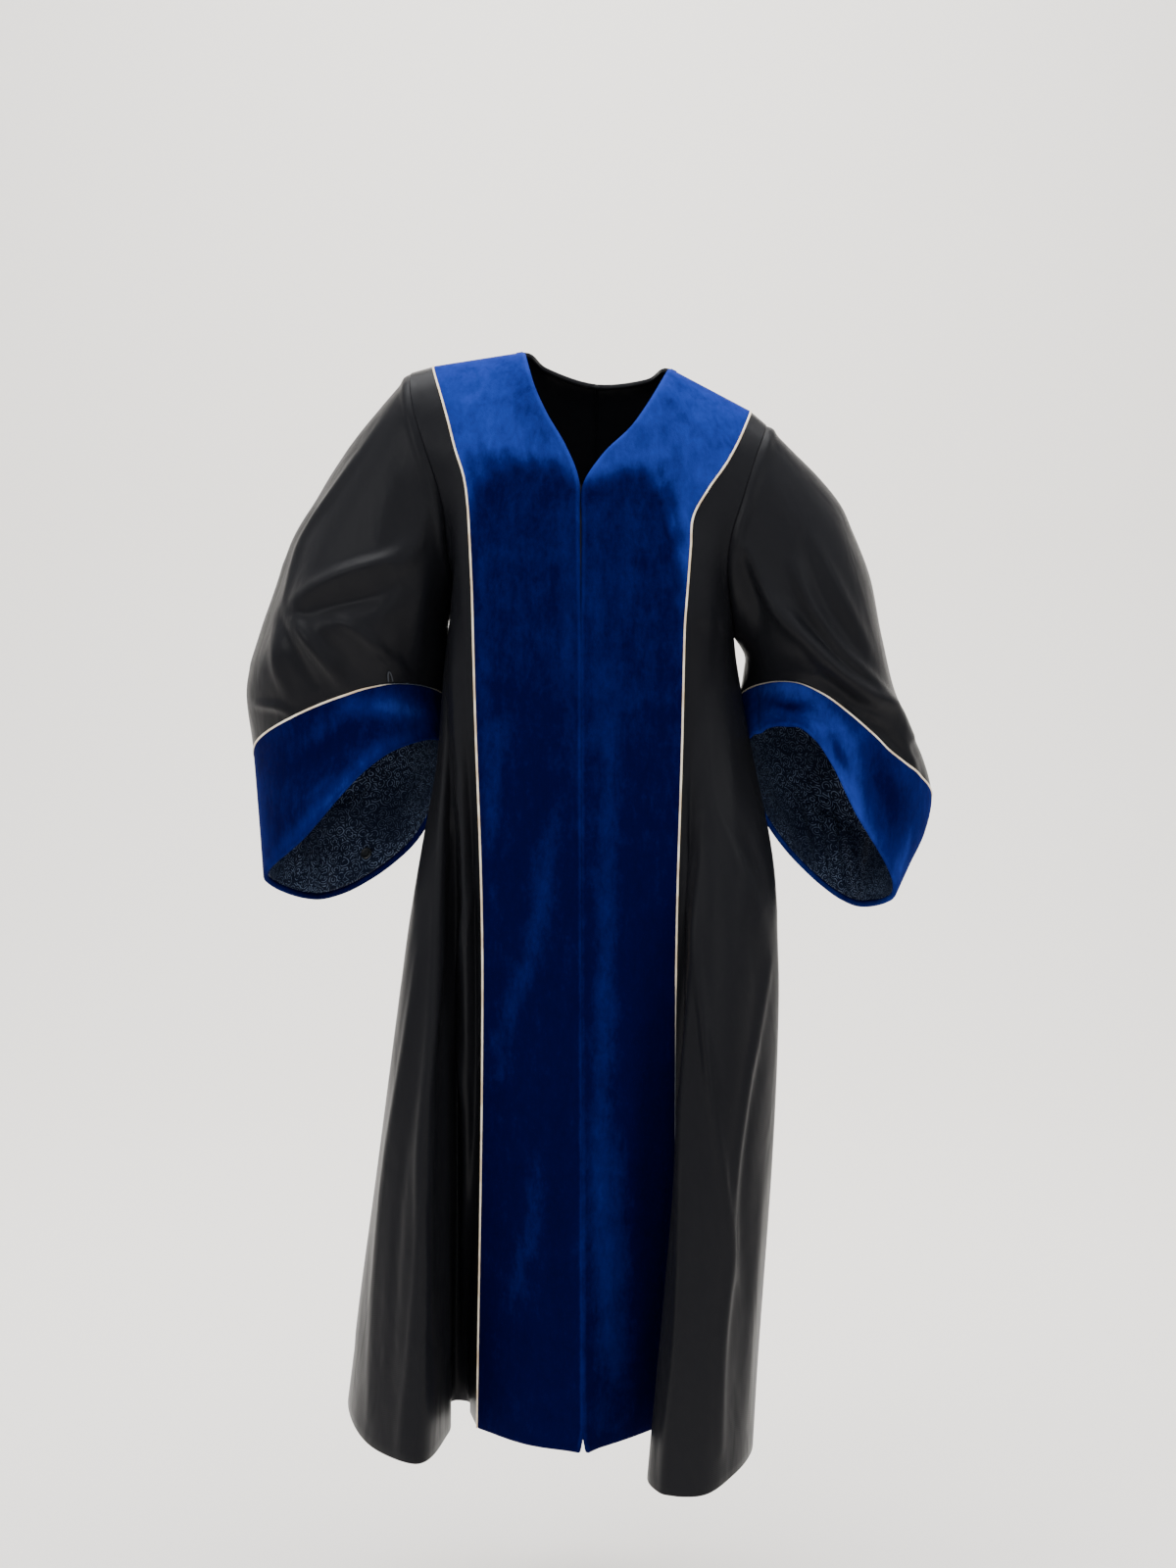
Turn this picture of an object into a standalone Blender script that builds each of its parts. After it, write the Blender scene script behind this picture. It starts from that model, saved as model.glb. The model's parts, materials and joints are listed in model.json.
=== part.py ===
"""Judicial robe, worn and empty: black cloth, blue velvet front bands and cuffs, corded piping.

The frame has +Z up and the front towards -Y. The origin lies between the shoulders, in the
neck opening, at the height of the shoulder line where the wearer holds the robe up. All
sizes below are millimetres, and meshes are made in metres. Right and left are the wearer's:
the wearer's right is on the -X side.
"""

import math
from collections import namedtuple

import bmesh
import bpy
from mathutils import Vector

MM = 0.001

# Walls, seams and trimmings
CLOTH = 2.0
VELVET = 2.4
LINING = 1.2
PIPING_DIAMETER = 3.2
PIPING_STAND_OUT = 0.9
SEAM_GAP = 0.8
LAYER_GAP = 1.2
CLEARANCE = 0.4
CORD_CLEARANCE = 0.8

# A seam's gap is found in small steps along the cloth, which is eased over a short length
GAP_STEP = 0.1
WALL_DEPTHS = (0.0, 1.0, 2.0, 3.0)
EASE_LENGTH = 24.0

# Rows of the body's sections: down the yoke, then down the skirt
YOKE_ROWS = 12
SKIRT_ROWS = 10
HIP_Z = -650.0
HEM_Z = -1220.0
CHEST_Z = -277.0
CHEST_TILT = -0.16
FRONT_FOLD_STEPS = 3
BACK_FOLD_STEPS = 3

# The shoulder line drops from the neck to the armhole, and the wearer's left shoulder is lower
NECK_Z = {"right": 13.0, "left": -5.0}
NECK_X = {"right": -72.0, "left": 92.0}
BACK_NECK_DEPTH = 60.0
BACK_NECK_DROP = 22.0
ARMHOLE_FRONT_DEPTH = 75.0
ARMHOLE_BACK_DEPTH = 80.0
ARMHOLE_BACK_BOW = 8.0

# Sleeve sections and lining; a sleeve's fold keeps a share of its height at its ends
SECTION_STEPS = 3
FOLD_END_SHARE = 0.12
UNDERARM_ROWS = 5
SHARPEST_TURN = 0.3
LINING_ROWS = 5
LINING_INSET = 7.0

# Centre front: a strip behind the opening
PLACKET_SHARE = 0.75
PLACKET_TOP_ROW = 6
PLACKET_END_SHARE = 0.7

BUTTON_RADIUS = 7.5
BUTTON_THICKNESS = 2.6
BUTTON_RIM = 1.8
BUTTON_DISH = 0.9
BUTTON_COLUMN = 18
BUTTON_ROW = 11
BUTTON_SHARE = 0.2
LOOP_THREAD = 1.4
LOOP_HEIGHT = 12.0
LOOP_WIDTH = 6.0
LOOP_COLUMN = 8

# Colour, roughness and metallic value of each material
FINISHES = {
    "black_cloth": ((0.012, 0.012, 0.014), 0.45, 0.0),
    "blue_velvet": ((0.008, 0.030, 0.180), 0.85, 0.0),
    "ivory_piping": ((0.62, 0.50, 0.34), 0.40, 0.0),
    "navy_lining": ((0.010, 0.018, 0.040), 0.40, 0.0),
    "black_button": ((0.010, 0.010, 0.011), 0.25, 0.0),
}

SeamPoint = namedtuple("SeamPoint", "x z")

# Front edges as seen from the front, from the shoulder seam down to the chest
NECKLINE = {
    "right": [
        SeamPoint(-72, 13),
        SeamPoint(-60, -28),
        SeamPoint(-47, -57),
        SeamPoint(-31, -86),
        SeamPoint(-17, -108),
        SeamPoint(-11.5, -127),
        SeamPoint(-10, -190),
        SeamPoint(-8.5, -290),
    ],
    "left": [
        SeamPoint(92, -5),
        SeamPoint(74, -36),
        SeamPoint(53, -68),
        SeamPoint(22, -100),
        SeamPoint(2, -118),
        SeamPoint(-4.5, -129),
        SeamPoint(-5.5, -190),
        SeamPoint(-7, -290),
    ],
}
PIPED_SEAM = {
    "right": [
        SeamPoint(-175, -3),
        SeamPoint(-158, -55),
        SeamPoint(-146, -99),
        SeamPoint(-135, -135),
        SeamPoint(-131, -175),
        SeamPoint(-127, -257),
    ],
    "left": [
        SeamPoint(184, -53),
        SeamPoint(159, -104),
        SeamPoint(126, -152),
        SeamPoint(115, -175),
        SeamPoint(113, -204),
        SeamPoint(106, -294),
    ],
}
ARMHOLE = {
    "right": [
        SeamPoint(-199, -14),
        SeamPoint(-196, -40),
        SeamPoint(-182, -90),
        SeamPoint(-168, -131),
        SeamPoint(-160, -165),
        SeamPoint(-156, -215),
        SeamPoint(-150, -253),
    ],
    "left": [
        SeamPoint(202, -68),
        SeamPoint(184, -111),
        SeamPoint(170, -155),
        SeamPoint(157, -199),
        SeamPoint(155, -240),
        SeamPoint(160, -273),
        SeamPoint(165, -303),
    ],
}

# Each fold of the body runs down one line, given by its plan at the chest, the hip and the hem
FoldLine = namedtuple("FoldLine", "name chest_x chest_y hip_x hip_y hem_x hem_y hem_drop")

BAND = {
    "right": [
        FoldLine("centre edge", -8.5, -112, -8, -132, -6, -140, 0),
        FoldLine("band middle", -68, -113, -62, -131, -68, -118, 0),
        FoldLine("piped seam", -127, -100, -117, -113, -128, -70, 0),
    ],
    "left": [
        FoldLine("centre edge", -7, -112, -7, -132, -4, -140, 0),
        FoldLine("band middle", 50, -111, 46, -128, 48, -98, 0),
        FoldLine("piped seam", 106, -98, 98, -110, 101, -48, 0),
    ],
}
FRONT = {
    "right": [
        FoldLine("tuck by the piping", -138, -92, -126, -98, -138, -28, 0),
        FoldLine("narrow ridge", -146, -82, -136, -112, -146, 10, 0),
        FoldLine("deep valley", -151, -70, -149, -78, -162, 16, 0),
        FoldLine("lobe flank", -152, -57, -158, -90, -172, -66, 3),
        FoldLine("lobe front", -152, -44, -172, -120, -203, -166, 4),
        FoldLine("lobe crease", -151, -29, -193, -105, -247, -118, -2),
        FoldLine("outer side", -150, -13, -204, -52, -280, -8, -22),
        FoldLine("side seam", -150, 5, -168, 5, -258, 48, -20),
    ],
    "left": [
        FoldLine("tuck by the piping", 118, -92, 110, -104, 113, -64, 8),
        FoldLine("hidden flank", 128, -85, 114, -120, 99, -112, 18),
        FoldLine("lobe edge", 138, -76, 117, -136, 67, -150, 26),
        FoldLine("lobe front", 147, -65, 133, -147, 85, -189, 27),
        FoldLine("lobe crest", 155, -52, 158, -146, 125, -195, 26),
        FoldLine("lobe far side", 161, -36, 184, -126, 162, -163, 26),
        FoldLine("outer side", 165, -17, 213, -84, 189, -86, 18),
        FoldLine("side seam", 165, 5, 174, 2, 166, -20, 12),
    ],
}
BACK = [
    FoldLine("side seam right", -150, 5, -168, 5, -258, 48, -20),
    FoldLine("side lobe right", -151, 45, -182, 62, -242, 112, -10),
    FoldLine("side valley right", -146, 78, -158, 90, -172, 92, 0),
    FoldLine("outer lobe right", -125, 101, -138, 133, -150, 178, 3),
    FoldLine("neck corner right", -96, 112, -98, 118, -98, 132, 3),
    FoldLine("inner lobe right", -48, 118, -56, 151, -58, 200, 5),
    FoldLine("centre back", 6, 118, -2, 128, -5, 142, 5),
    FoldLine("inner lobe left", 60, 117, 52, 152, 48, 204, 7),
    FoldLine("neck corner left", 104, 110, 92, 121, 86, 134, 10),
    FoldLine("outer lobe left", 132, 98, 135, 138, 132, 182, 14),
    FoldLine("side valley left", 153, 76, 162, 98, 142, 96, 16),
    FoldLine("side lobe left", 163, 44, 224, 72, 192, 66, 12),
    FoldLine("side seam left", 165, 5, 174, 2, 166, -20, 12),
]
NECK_CORNERS = (4, 8)
CENTRE_BACK = 6

# Sleeve sections after the armhole, each through six points round the tube
SleeveSection = namedtuple(
    "SleeveSection", "name outer front_outer front_inner inner back_inner back_outer"
)
SLEEVES = {
    "right": [
        SleeveSection(
            "upper arm",
            (-313, 28, -139), (-276, -62, -186), (-205, -88, -235),
            (-172, 20, -296), (-210, 108, -242), (-279, 102, -181),
        ),
        SleeveSection(
            "elbow",
            (-397, 58, -372), (-338, -62, -322), (-232, -88, -305),
            (-176, 50, -345), (-238, 142, -345), (-340, 142, -355),
        ),
        SleeveSection(
            "cuff seam",
            (-391, 44, -447), (-334, -50, -396), (-226, -66, -358),
            (-172, 44, -386), (-218, 120, -462), (-330, 132, -515),
        ),
        SleeveSection(
            "mouth",
            (-375, 4, -590), (-322, -68, -531), (-222, -78, -433),
            (-169, -12, -424), (-204, 50, -552), (-320, 64, -622),
        ),
    ],
    "left": [
        SleeveSection(
            "upper arm",
            (297, 22, -160), (264, -66, -212), (210, -84, -270),
            (184, 18, -328), (214, 106, -278), (262, 100, -210),
        ),
        SleeveSection(
            "elbow",
            (361, 55, -394), (319, -56, -349), (236, -82, -325),
            (186, 42, -352), (240, 138, -372), (330, 140, -392),
        ),
        SleeveSection(
            "cuff seam",
            (402, 44, -500), (345, -44, -436), (238, -62, -357),
            (184, 38, -380), (224, 112, -470), (340, 124, -548),
        ),
        SleeveSection(
            "mouth",
            (354, 4, -612), (309, -62, -510), (232, -84, -402),
            (192, -18, -424), (238, 50, -566), (318, 52, -628),
        ),
    ],
}

# Large soft folds of the sleeves, as seen from the front: height is out from the cloth
SleeveFold = namedtuple("SleeveFold", "name layer x0 z0 x1 z1 width height")
SLEEVE_FOLDS = {
    "right": [
        SleeveFold("ridge from the elbow", "front", -350, -275, -218, -236, 15, 13),
        SleeveFold("hollow under it", "front", -318, -308, -226, -262, 20, -20),
        SleeveFold("ridge to the cuff", "front", -338, -300, -236, -345, 15, 10),
        SleeveFold("ridge down to the cuff", "front", -352, -290, -312, -366, 13, 9),
        SleeveFold("top crease", "front", -222, -40, -338, -236, 14, -7),
        SleeveFold("crook hollow", "front", -186, -170, -176, -330, 16, -12),
        SleeveFold("back hollow", "back", -330, -150, -230, -330, 26, -16),
        SleeveFold("back ridge", "back", -250, -110, -360, -330, 20, 10),
        SleeveFold("back drape", "back", -360, -330, -250, -470, 22, 10),
    ],
    "left": [
        SleeveFold("armpit hollow", "front", 176, -210, 190, -330, 15, -30),
        SleeveFold("long ridge", "front", 186, -212, 350, -388, 16, 15),
        SleeveFold("hollow over the long ridge", "front", 214, -170, 336, -330, 17, -9),
        SleeveFold("second ridge", "front", 226, -180, 345, -375, 14, 7),
        SleeveFold("hollow under the elbow", "front", 290, -350, 372, -440, 14, -16),
        SleeveFold("back hollow", "back", 300, -190, 230, -350, 26, -16),
        SleeveFold("back ridge", "back", 240, -150, 350, -380, 20, 10),
        SleeveFold("back drape", "back", 350, -390, 260, -490, 22, 10),
    ],
}


def between(a, b, share):
    """The value or point that lies this share of the way from a to b."""
    return a + (b - a) * share


def hermite(start, end, start_slope, end_slope, share):
    """A cubic from start to end whose slopes are given over the whole stretch."""
    s2, s3 = share * share, share**3
    return (
        start * (2 * s3 - 3 * s2 + 1)
        + start_slope * (s3 - 2 * s2 + share)
        + end * (3 * s2 - 2 * s3)
        + end_slope * (s3 - s2)
    )


def slopes(points, closed):
    """The direction of a smooth curve at each of its points, per millimetre of its length."""
    count = len(points)
    found = []
    for i, point in enumerate(points):
        before = points[i - 1] if closed or i else None
        after = points[(i + 1) % count] if closed or i < count - 1 else None
        if before is None:
            found.append((after - point) / max((after - point).length, 1e-6))
        elif after is None:
            found.append((point - before) / max((point - before).length, 1e-6))
        else:
            near = max((point - before).length, 1e-6)
            far = max((after - point).length, 1e-6)
            found.append(((point - before) / near * far + (after - point) / far * near) / (near + far))
    return found


def curve_through(points, steps, closed=False):
    """Points along a smooth curve through the given ones, with this many steps between each two."""
    directions = slopes(points, closed)
    count = len(points)
    made = []
    for i in range(count if closed else count - 1):
        j = (i + 1) % count
        length = (points[j] - points[i]).length
        for step in range(steps):
            made.append(
                hermite(
                    points[i], points[j], directions[i] * length, directions[j] * length, step / steps
                )
            )
    return made if closed else made + [points[-1].copy()]


def x_on_seam(seam, z):
    """How far across a seam lies at a height, on a smooth curve through its points."""
    z = min(seam[0].z, max(seam[-1].z, z))
    last = len(seam) - 1
    i = next(i for i in range(last) if z >= seam[i + 1].z)

    def slope(k):
        low, high = max(k - 1, 0), min(k + 1, last)
        return (seam[high].x - seam[low].x) / (seam[high].z - seam[low].z)

    rise = seam[i + 1].z - seam[i].z
    share = (z - seam[i].z) / rise
    return hermite(seam[i].x, seam[i + 1].x, slope(i) * rise, slope(i + 1) * rise, share)


def yoke_share(row):
    """How far down the yoke a row lies, closer together at the shoulder and the underarm."""
    return (1 - math.cos(math.pi * row / YOKE_ROWS)) / 2


def chest_point(line):
    """The point of a fold line at the foot of the yoke, which tilts with the shoulders."""
    return Vector((line.chest_x, line.chest_y, CHEST_Z + CHEST_TILT * line.chest_x))


def roll_share(share):
    """How far forward or back the cloth has come as it rolls off the shoulder."""
    return math.sqrt(1 - (1 - share) ** 2)


def rolled(top, chest, share):
    """A point on the cloth that rolls off the shoulder from top and hangs down to the chest."""
    point = between(top, chest, share)
    point.y = between(top.y, chest.y, roll_share(share))
    return point


def seam_column(seam, chest, start_y=0.0):
    """The yoke's rows down a seam whose place across is known."""
    top = Vector((seam[0].x, start_y, seam[0].z))
    column = []
    for row in range(YOKE_ROWS + 1):
        point = rolled(top, chest, yoke_share(row))
        point.x = x_on_seam(seam, point.z)
        column.append(point)
    column[-1] = chest.copy()
    return column


def armhole_column(side, chest, depth, bow=None):
    """The yoke's rows down an armhole: an oval from the shoulder to the underarm."""
    seam = ARMHOLE[side]
    outward = -1 if side == "right" else 1
    column = []
    for row in range(YOKE_ROWS + 1):
        share = yoke_share(row)
        z = between(seam[0].z, chest.z, share)
        x = x_on_seam(seam, z)
        if bow is not None:
            x = between(seam[0].x, chest.x, share) - outward * bow * 4 * share * (1 - share)
        y = chest.y * share + depth * math.sqrt(max(0.0, 1 - (2 * share - 1) ** 2))
        column.append(Vector((x, y, z)))
    column[-1] = chest.copy()
    return column


def chest_shares(lines):
    """How far each line lies from the first to the last, along the chest."""
    points = [chest_point(line) for line in lines]
    lengths = [0.0]
    for i in range(1, len(points)):
        lengths.append(lengths[-1] + (points[i] - points[i - 1]).length)
    return [length / lengths[-1] for length in lengths]


def columns_between(lines, first, last):
    """The yoke's rows down each line from the first column to the last, easing to their chest points."""
    made = []
    for line, share in zip(lines, chest_shares(lines)):
        own = chest_point(line) - between(first[-1], last[-1], share)
        column = []
        for row in range(YOKE_ROWS + 1):
            point = between(first[row], last[row], share)
            column.append(point + own * yoke_share(row) ** 4)
        made.append(column)
    return made


def skirt_column(line):
    """The rows down a fold line from the chest to the hem, without the chest's own."""
    chest = chest_point(line)
    hip = Vector((line.hip_x, line.hip_y, HIP_Z))
    hem = Vector((line.hem_x, line.hem_y, HEM_Z - line.hem_drop))
    column = []
    for row in range(1, SKIRT_ROWS + 1):
        z = between(chest.z, hem.z, row / SKIRT_ROWS)
        overall = (hem - chest) / (hem.z - chest.z)
        if z > HIP_Z:
            rise = HIP_Z - chest.z
            share = (z - chest.z) / rise
            point = hermite(chest, hip, Vector(), overall * rise, share)
        else:
            rise = hem.z - HIP_Z
            share = (z - HIP_Z) / rise
            point = hermite(hip, hem, overall * rise, hem - hip, share)
        point.z = z
        column.append(point)
    return column


def across(lines, yoke_columns, steps):
    """Columns of cloth points through the fold lines, with steps between each two of them."""
    whole = [yoke + skirt_column(line) for line, yoke in zip(lines, yoke_columns)]
    rows = [curve_through([column[row] for column in whole], steps) for row in range(len(whole[0]))]
    return [[row[i] for row in rows] for i in range(len(rows[0]))]


def normals_of(columns, closed=False):
    """The outward direction at each point of a grid of cloth, from its neighbours."""
    count, rows = len(columns), len(columns[0])
    found = []
    for i in range(count):
        left = columns[i - 1] if closed or i else columns[i]
        right = columns[(i + 1) % count] if closed or i < count - 1 else columns[i]
        column = []
        for j in range(rows):
            along = columns[i][min(j + 1, rows - 1)] - columns[i][max(j - 1, 0)]
            column.append((right[j] - left[j]).cross(along).normalized())
        found.append(column)
    return found


def shoulder_normals(columns, normals, count_from, count_to):
    """Turns the top row's normals square to the shoulder line, with no part along Y."""
    for i in range(count_from, count_to):
        left, right = columns[max(i - 1, 0)][0], columns[min(i + 1, len(columns) - 1)][0]
        line = right - left
        normal = Vector((-line.z, 0, line.x))
        if normal.z < 0:
            normal.negate()
        normals[i][0] = normal.normalized()


def no_gap(point, beside, normal):
    """The gap at an edge that meets nothing."""
    return 0.0


def plain_gap(point, beside, normal):
    """The gap at an edge that is sewn to another."""
    return SEAM_GAP / 2


def piped_gap(point, beside, normal):
    """The gap beside the cord of a piped seam, clear of the cord whichever way the cloth turns."""
    cord = point + normal * PIPING_STAND_OUT
    inward = (beside - point).normalized()
    gap = PIPING_DIAMETER / 2
    while gap < 4 * PIPING_DIAMETER:
        wall_points = [
            point + inward * (gap + deeper) + normal * side
            for deeper in WALL_DEPTHS
            for side in (-VELVET / 2, 0.0, VELVET / 2)
        ]
        if min((place - cord).length for place in wall_points) > PIPING_DIAMETER / 2 + CORD_CLEARANCE:
            break
        gap += GAP_STEP
    return gap


def lining_gap(point, beside, normal):
    """How far the lining stops short of the edge that it is turned in at."""
    return LINING_INSET


def slid(points, directions, gap_rule):
    """A line of points slid along itself to leave a gap at its start, and their directions."""
    gap = gap_rule(points[0], points[1], directions[0])
    lengths = [0.0]
    for i in range(1, len(points)):
        lengths.append(lengths[-1] + (points[i] - points[i - 1]).length)
    reach = min(EASE_LENGTH, lengths[-1])
    new_points, new_directions = [], []
    for i, length in enumerate(lengths):
        wanted = gap + length * (reach - gap) / reach if length < reach else length
        k = next((k for k in range(1, len(lengths)) if lengths[k] >= wanted), len(lengths) - 1)
        share = (wanted - lengths[k - 1]) / (lengths[k] - lengths[k - 1])
        new_points.append(between(points[k - 1], points[k], share))
        new_directions.append(between(directions[k - 1], directions[k], share).normalized())
    return new_points, new_directions


def slid_at_both_ends(points, directions, first, last):
    """A line of points with a gap at its start and at its end."""
    points, directions = slid(points, directions, first)
    points, directions = slid(points[::-1], directions[::-1], last)
    return points[::-1], directions[::-1]


def turned_grid(grid):
    """Rows as columns, and columns as rows."""
    return [[line[i] for line in grid] for i in range(len(grid[0]))]


def with_gaps(lines, directions, first, last):
    """Lines of points across a grid, each with gaps at its ends."""
    made = [slid_at_both_ends(*pair, first, last) for pair in zip(lines, directions)]
    return [pair[0] for pair in made], [pair[1] for pair in made]


def panel(columns, normals, first, last, top):
    """A copy of a grid with its first and last columns and its top row drawn back for its seams."""
    rows, row_normals = with_gaps(turned_grid(columns), turned_grid(normals), first, last)
    return with_gaps(turned_grid(rows), turned_grid(row_normals), top, no_gap)


def material(name):
    """The Principled material of one finish."""
    made = bpy.data.materials.get(name)
    if made is None:
        colour, roughness, metallic = FINISHES[name]
        made = bpy.data.materials.new(name)
        made.use_nodes = True
        shader = made.node_tree.nodes["Principled BSDF"]
        shader.inputs["Base Color"].default_value = (*colour, 1.0)
        shader.inputs["Roughness"].default_value = roughness
        shader.inputs["Metallic"].default_value = metallic
        made.diffuse_color = (*colour, 1.0)
    return made


def add_object(name, mesh, finish, collection):
    """A named object of the robe with its material, shaded smooth but for its rims."""
    made = bpy.data.objects.new(name, mesh)
    collection.objects.link(made)
    if isinstance(mesh, bpy.types.Mesh):
        mesh.shade_smooth()
        mesh.set_sharp_from_angle(angle=math.radians(50))
    mesh.materials.append(material(finish))
    return made


def wall(name, columns, normals, thickness, finish, collection, closed=False, inset=0.0):
    """A cloth wall lofted through columns of points: an outer and an inner face, and rims.

    The middle of the wall lies on the points moved inwards by inset. A closed wall is a tube
    whose last column joins its first.
    """
    mesh_maker = bmesh.new()
    layers = []
    for out in (thickness / 2 - inset, -thickness / 2 - inset):
        layer = []
        for column, directions in zip(columns, normals):
            layer.append(
                [mesh_maker.verts.new((p + n * out) * MM) for p, n in zip(column, directions)]
            )
        layers.append(layer)
    outer, inner = layers
    count, rows = len(columns), len(columns[0])
    spans = [(i, (i + 1) % count) for i in range(count if closed else count - 1)]
    facets = []
    for i, k in spans:
        for j in range(rows - 1):
            facets.append((outer[i][j], outer[i][j + 1], outer[k][j + 1], outer[k][j]))
            facets.append((inner[k][j + 1], inner[i][j + 1], inner[i][j], inner[k][j]))
        facets.append((outer[i][0], outer[k][0], inner[k][0], inner[i][0]))
        facets.append((outer[i][-1], inner[i][-1], inner[k][-1], outer[k][-1]))
    if not closed:
        for j in range(rows - 1):
            facets.append((outer[0][j], inner[0][j], inner[0][j + 1], outer[0][j + 1]))
            facets.append((outer[-1][j], outer[-1][j + 1], inner[-1][j + 1], inner[-1][j]))
    for a, b, c, d in facets:
        mesh_maker.faces.new((a, b, c))
        mesh_maker.faces.new((a, c, d))
    bmesh.ops.recalc_face_normals(mesh_maker, faces=mesh_maker.faces[:])
    mesh = bpy.data.meshes.new(name)
    mesh_maker.to_mesh(mesh)
    mesh_maker.free()
    return add_object(name, mesh, finish, collection)


def corded(name, path, diameter, finish, collection, closed=False):
    """A thin round cord along a path, as a bevelled curve."""
    curve = bpy.data.curves.new(name, "CURVE")
    curve.dimensions = "3D"
    curve.bevel_depth = diameter / 2 * MM
    curve.bevel_resolution = 2
    curve.use_fill_caps = not closed
    spline = curve.splines.new("POLY")
    spline.points.add(len(path) - 1)
    for point, place in zip(spline.points, path):
        point.co = (*(place * MM), 1.0)
    spline.use_cyclic_u = closed
    return add_object(name, curve, finish, collection)


def front_side(side):
    """One front of the body: its columns, its normals and the index of its piped seam."""
    band, front = BAND[side], FRONT[side]
    centre = seam_column(NECKLINE[side], chest_point(band[0]))
    piped = seam_column(PIPED_SEAM[side], chest_point(band[-1]))
    armhole = armhole_column(side, chest_point(front[-1]), -ARMHOLE_FRONT_DEPTH)
    band_columns = across(band, columns_between(band, centre, piped), FRONT_FOLD_STEPS)
    black_lines = [band[-1], *front]
    black_columns = across(black_lines, columns_between(black_lines, piped, armhole), FRONT_FOLD_STEPS)
    columns = band_columns[:-1] + black_columns
    if side == "left":
        normals = [[-n for n in column] for column in normals_of(columns)]
    else:
        normals = normals_of(columns)
    shoulder_normals(columns, normals, 0, len(columns))
    return columns, normals, len(band_columns) - 1


def back_neck_point(share):
    """A point on the back neckline, from the right neck corner to the left one."""
    right = Vector((NECK_X["right"], 0, NECK_Z["right"]))
    left = Vector((NECK_X["left"], 0, NECK_Z["left"]))
    point = between(right, left, (1 - math.cos(math.pi * share)) / 2)
    point.y = BACK_NECK_DEPTH * math.sin(math.pi * share)
    point.z -= BACK_NECK_DROP * math.sin(math.pi * share) ** 2
    return point


def straighten_shoulder(columns, armhole, neck):
    """Lays the top row on the straight shoulder seam from the armhole to the neck."""
    start, end = columns[armhole][0].copy(), columns[neck][0].copy()
    step = 1 if neck > armhole else -1
    for i in range(armhole, neck, step):
        columns[i][0] = between(start, end, (i - armhole) / (neck - armhole))


def back_side():
    """The back of the body: its columns and normals, from the right side seam to the left."""
    first, last = NECK_CORNERS
    neck_lines = BACK[first : last + 1]
    neck_columns = []
    for i, line in enumerate(neck_lines):
        top = back_neck_point(i / (len(neck_lines) - 1))
        chest = chest_point(line)
        neck_columns.append([rolled(top, chest, yoke_share(row)) for row in range(YOKE_ROWS + 1)])
    armholes = [
        armhole_column(side, chest_point(line), ARMHOLE_BACK_DEPTH, ARMHOLE_BACK_BOW)
        for side, line in (("right", BACK[0]), ("left", BACK[-1]))
    ]
    right = columns_between(BACK[: first + 1], armholes[0], neck_columns[0])
    left = columns_between(BACK[last:], neck_columns[-1], armholes[1])
    columns = across(BACK, right[:-1] + neck_columns + left[1:], BACK_FOLD_STEPS)
    corner_first, corner_last = first * BACK_FOLD_STEPS, last * BACK_FOLD_STEPS
    straighten_shoulder(columns, 0, corner_first)
    straighten_shoulder(columns, len(columns) - 1, corner_last)
    normals = normals_of(columns)
    shoulder_normals(columns, normals, 0, corner_first + 1)
    shoulder_normals(columns, normals, corner_last, len(columns))
    return columns, normals


def share_side_seam(front_normals, back_normals):
    """Gives the front and the back one direction along the side seam that joins them."""
    for row in range(YOKE_ROWS, YOKE_ROWS + SKIRT_ROWS + 1):
        common = (front_normals[row] + back_normals[row]).normalized()
        front_normals[row] = common
        back_normals[row] = common.copy()


def fold_height(folds, layer, point):
    """How far the sleeve's large folds push the cloth out at a point."""
    height = 0.0
    for fold in folds:
        if fold.layer != layer:
            continue
        start = Vector((fold.x0, fold.z0))
        run = Vector((fold.x1, fold.z1)) - start
        place = Vector((point.x, point.z)) - start
        share = max(0.0, min(1.0, place.dot(run) / run.length_squared))
        distance = (place - run * share).length
        fade = math.sin(math.pi * between(FOLD_END_SHARE, 1 - FOLD_END_SHARE, share))
        height += fold.height * fade * math.exp(-((distance / fold.width) ** 2))
    return height


def sleeve_grid(side, front_column, back_column):
    """A sleeve with its cuff as columns round the arm: points, normals and the cuff seam's row."""
    around = 2 * YOKE_ROWS
    armhole = [point.copy() for point in front_column[: YOKE_ROWS + 1]]
    armhole += [back_column[row].copy() for row in range(YOKE_ROWS - 1, 0, -1)]
    sections = [armhole]
    for section in SLEEVES[side]:
        corners = [Vector(corner) for corner in section[1:]]
        sections.append(curve_through(corners, around // len(corners), closed=True))
    columns = [
        curve_through([section[i] for section in sections], SECTION_STEPS) for i in range(around)
    ]
    sign = -1 if side == "right" else 1
    normals = [[n * sign for n in column] for column in normals_of(columns, closed=True)]
    for i, column in enumerate(columns):
        layer = "front" if 0 < i < YOKE_ROWS else "back"
        for j in range(1, len(column)):
            away = min(1.0, j / SECTION_STEPS)
            column[j] = column[j] + normals[i][j] * fold_height(SLEEVE_FOLDS[side], layer, column[j]) * away
    normals = [[n * sign for n in column] for column in normals_of(columns, closed=True)]
    return columns, normals, (len(sections) - 2) * SECTION_STEPS


def armhole_gap(into_sleeve, into_body):
    """How far a sleeve starts from the armhole's edge, so that walls that meet at an angle stay apart."""
    turn = into_sleeve.angle(into_body)
    half = CLOTH / 2
    past_face = (half + CLEARANCE + half * math.cos(turn)) / max(math.sin(turn), SHARPEST_TURN)
    if turn <= math.pi / 2:
        return past_face
    past_end = (CLEARANCE + half * math.sin(turn)) / -math.cos(turn)
    return min(past_face, past_end)


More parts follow.
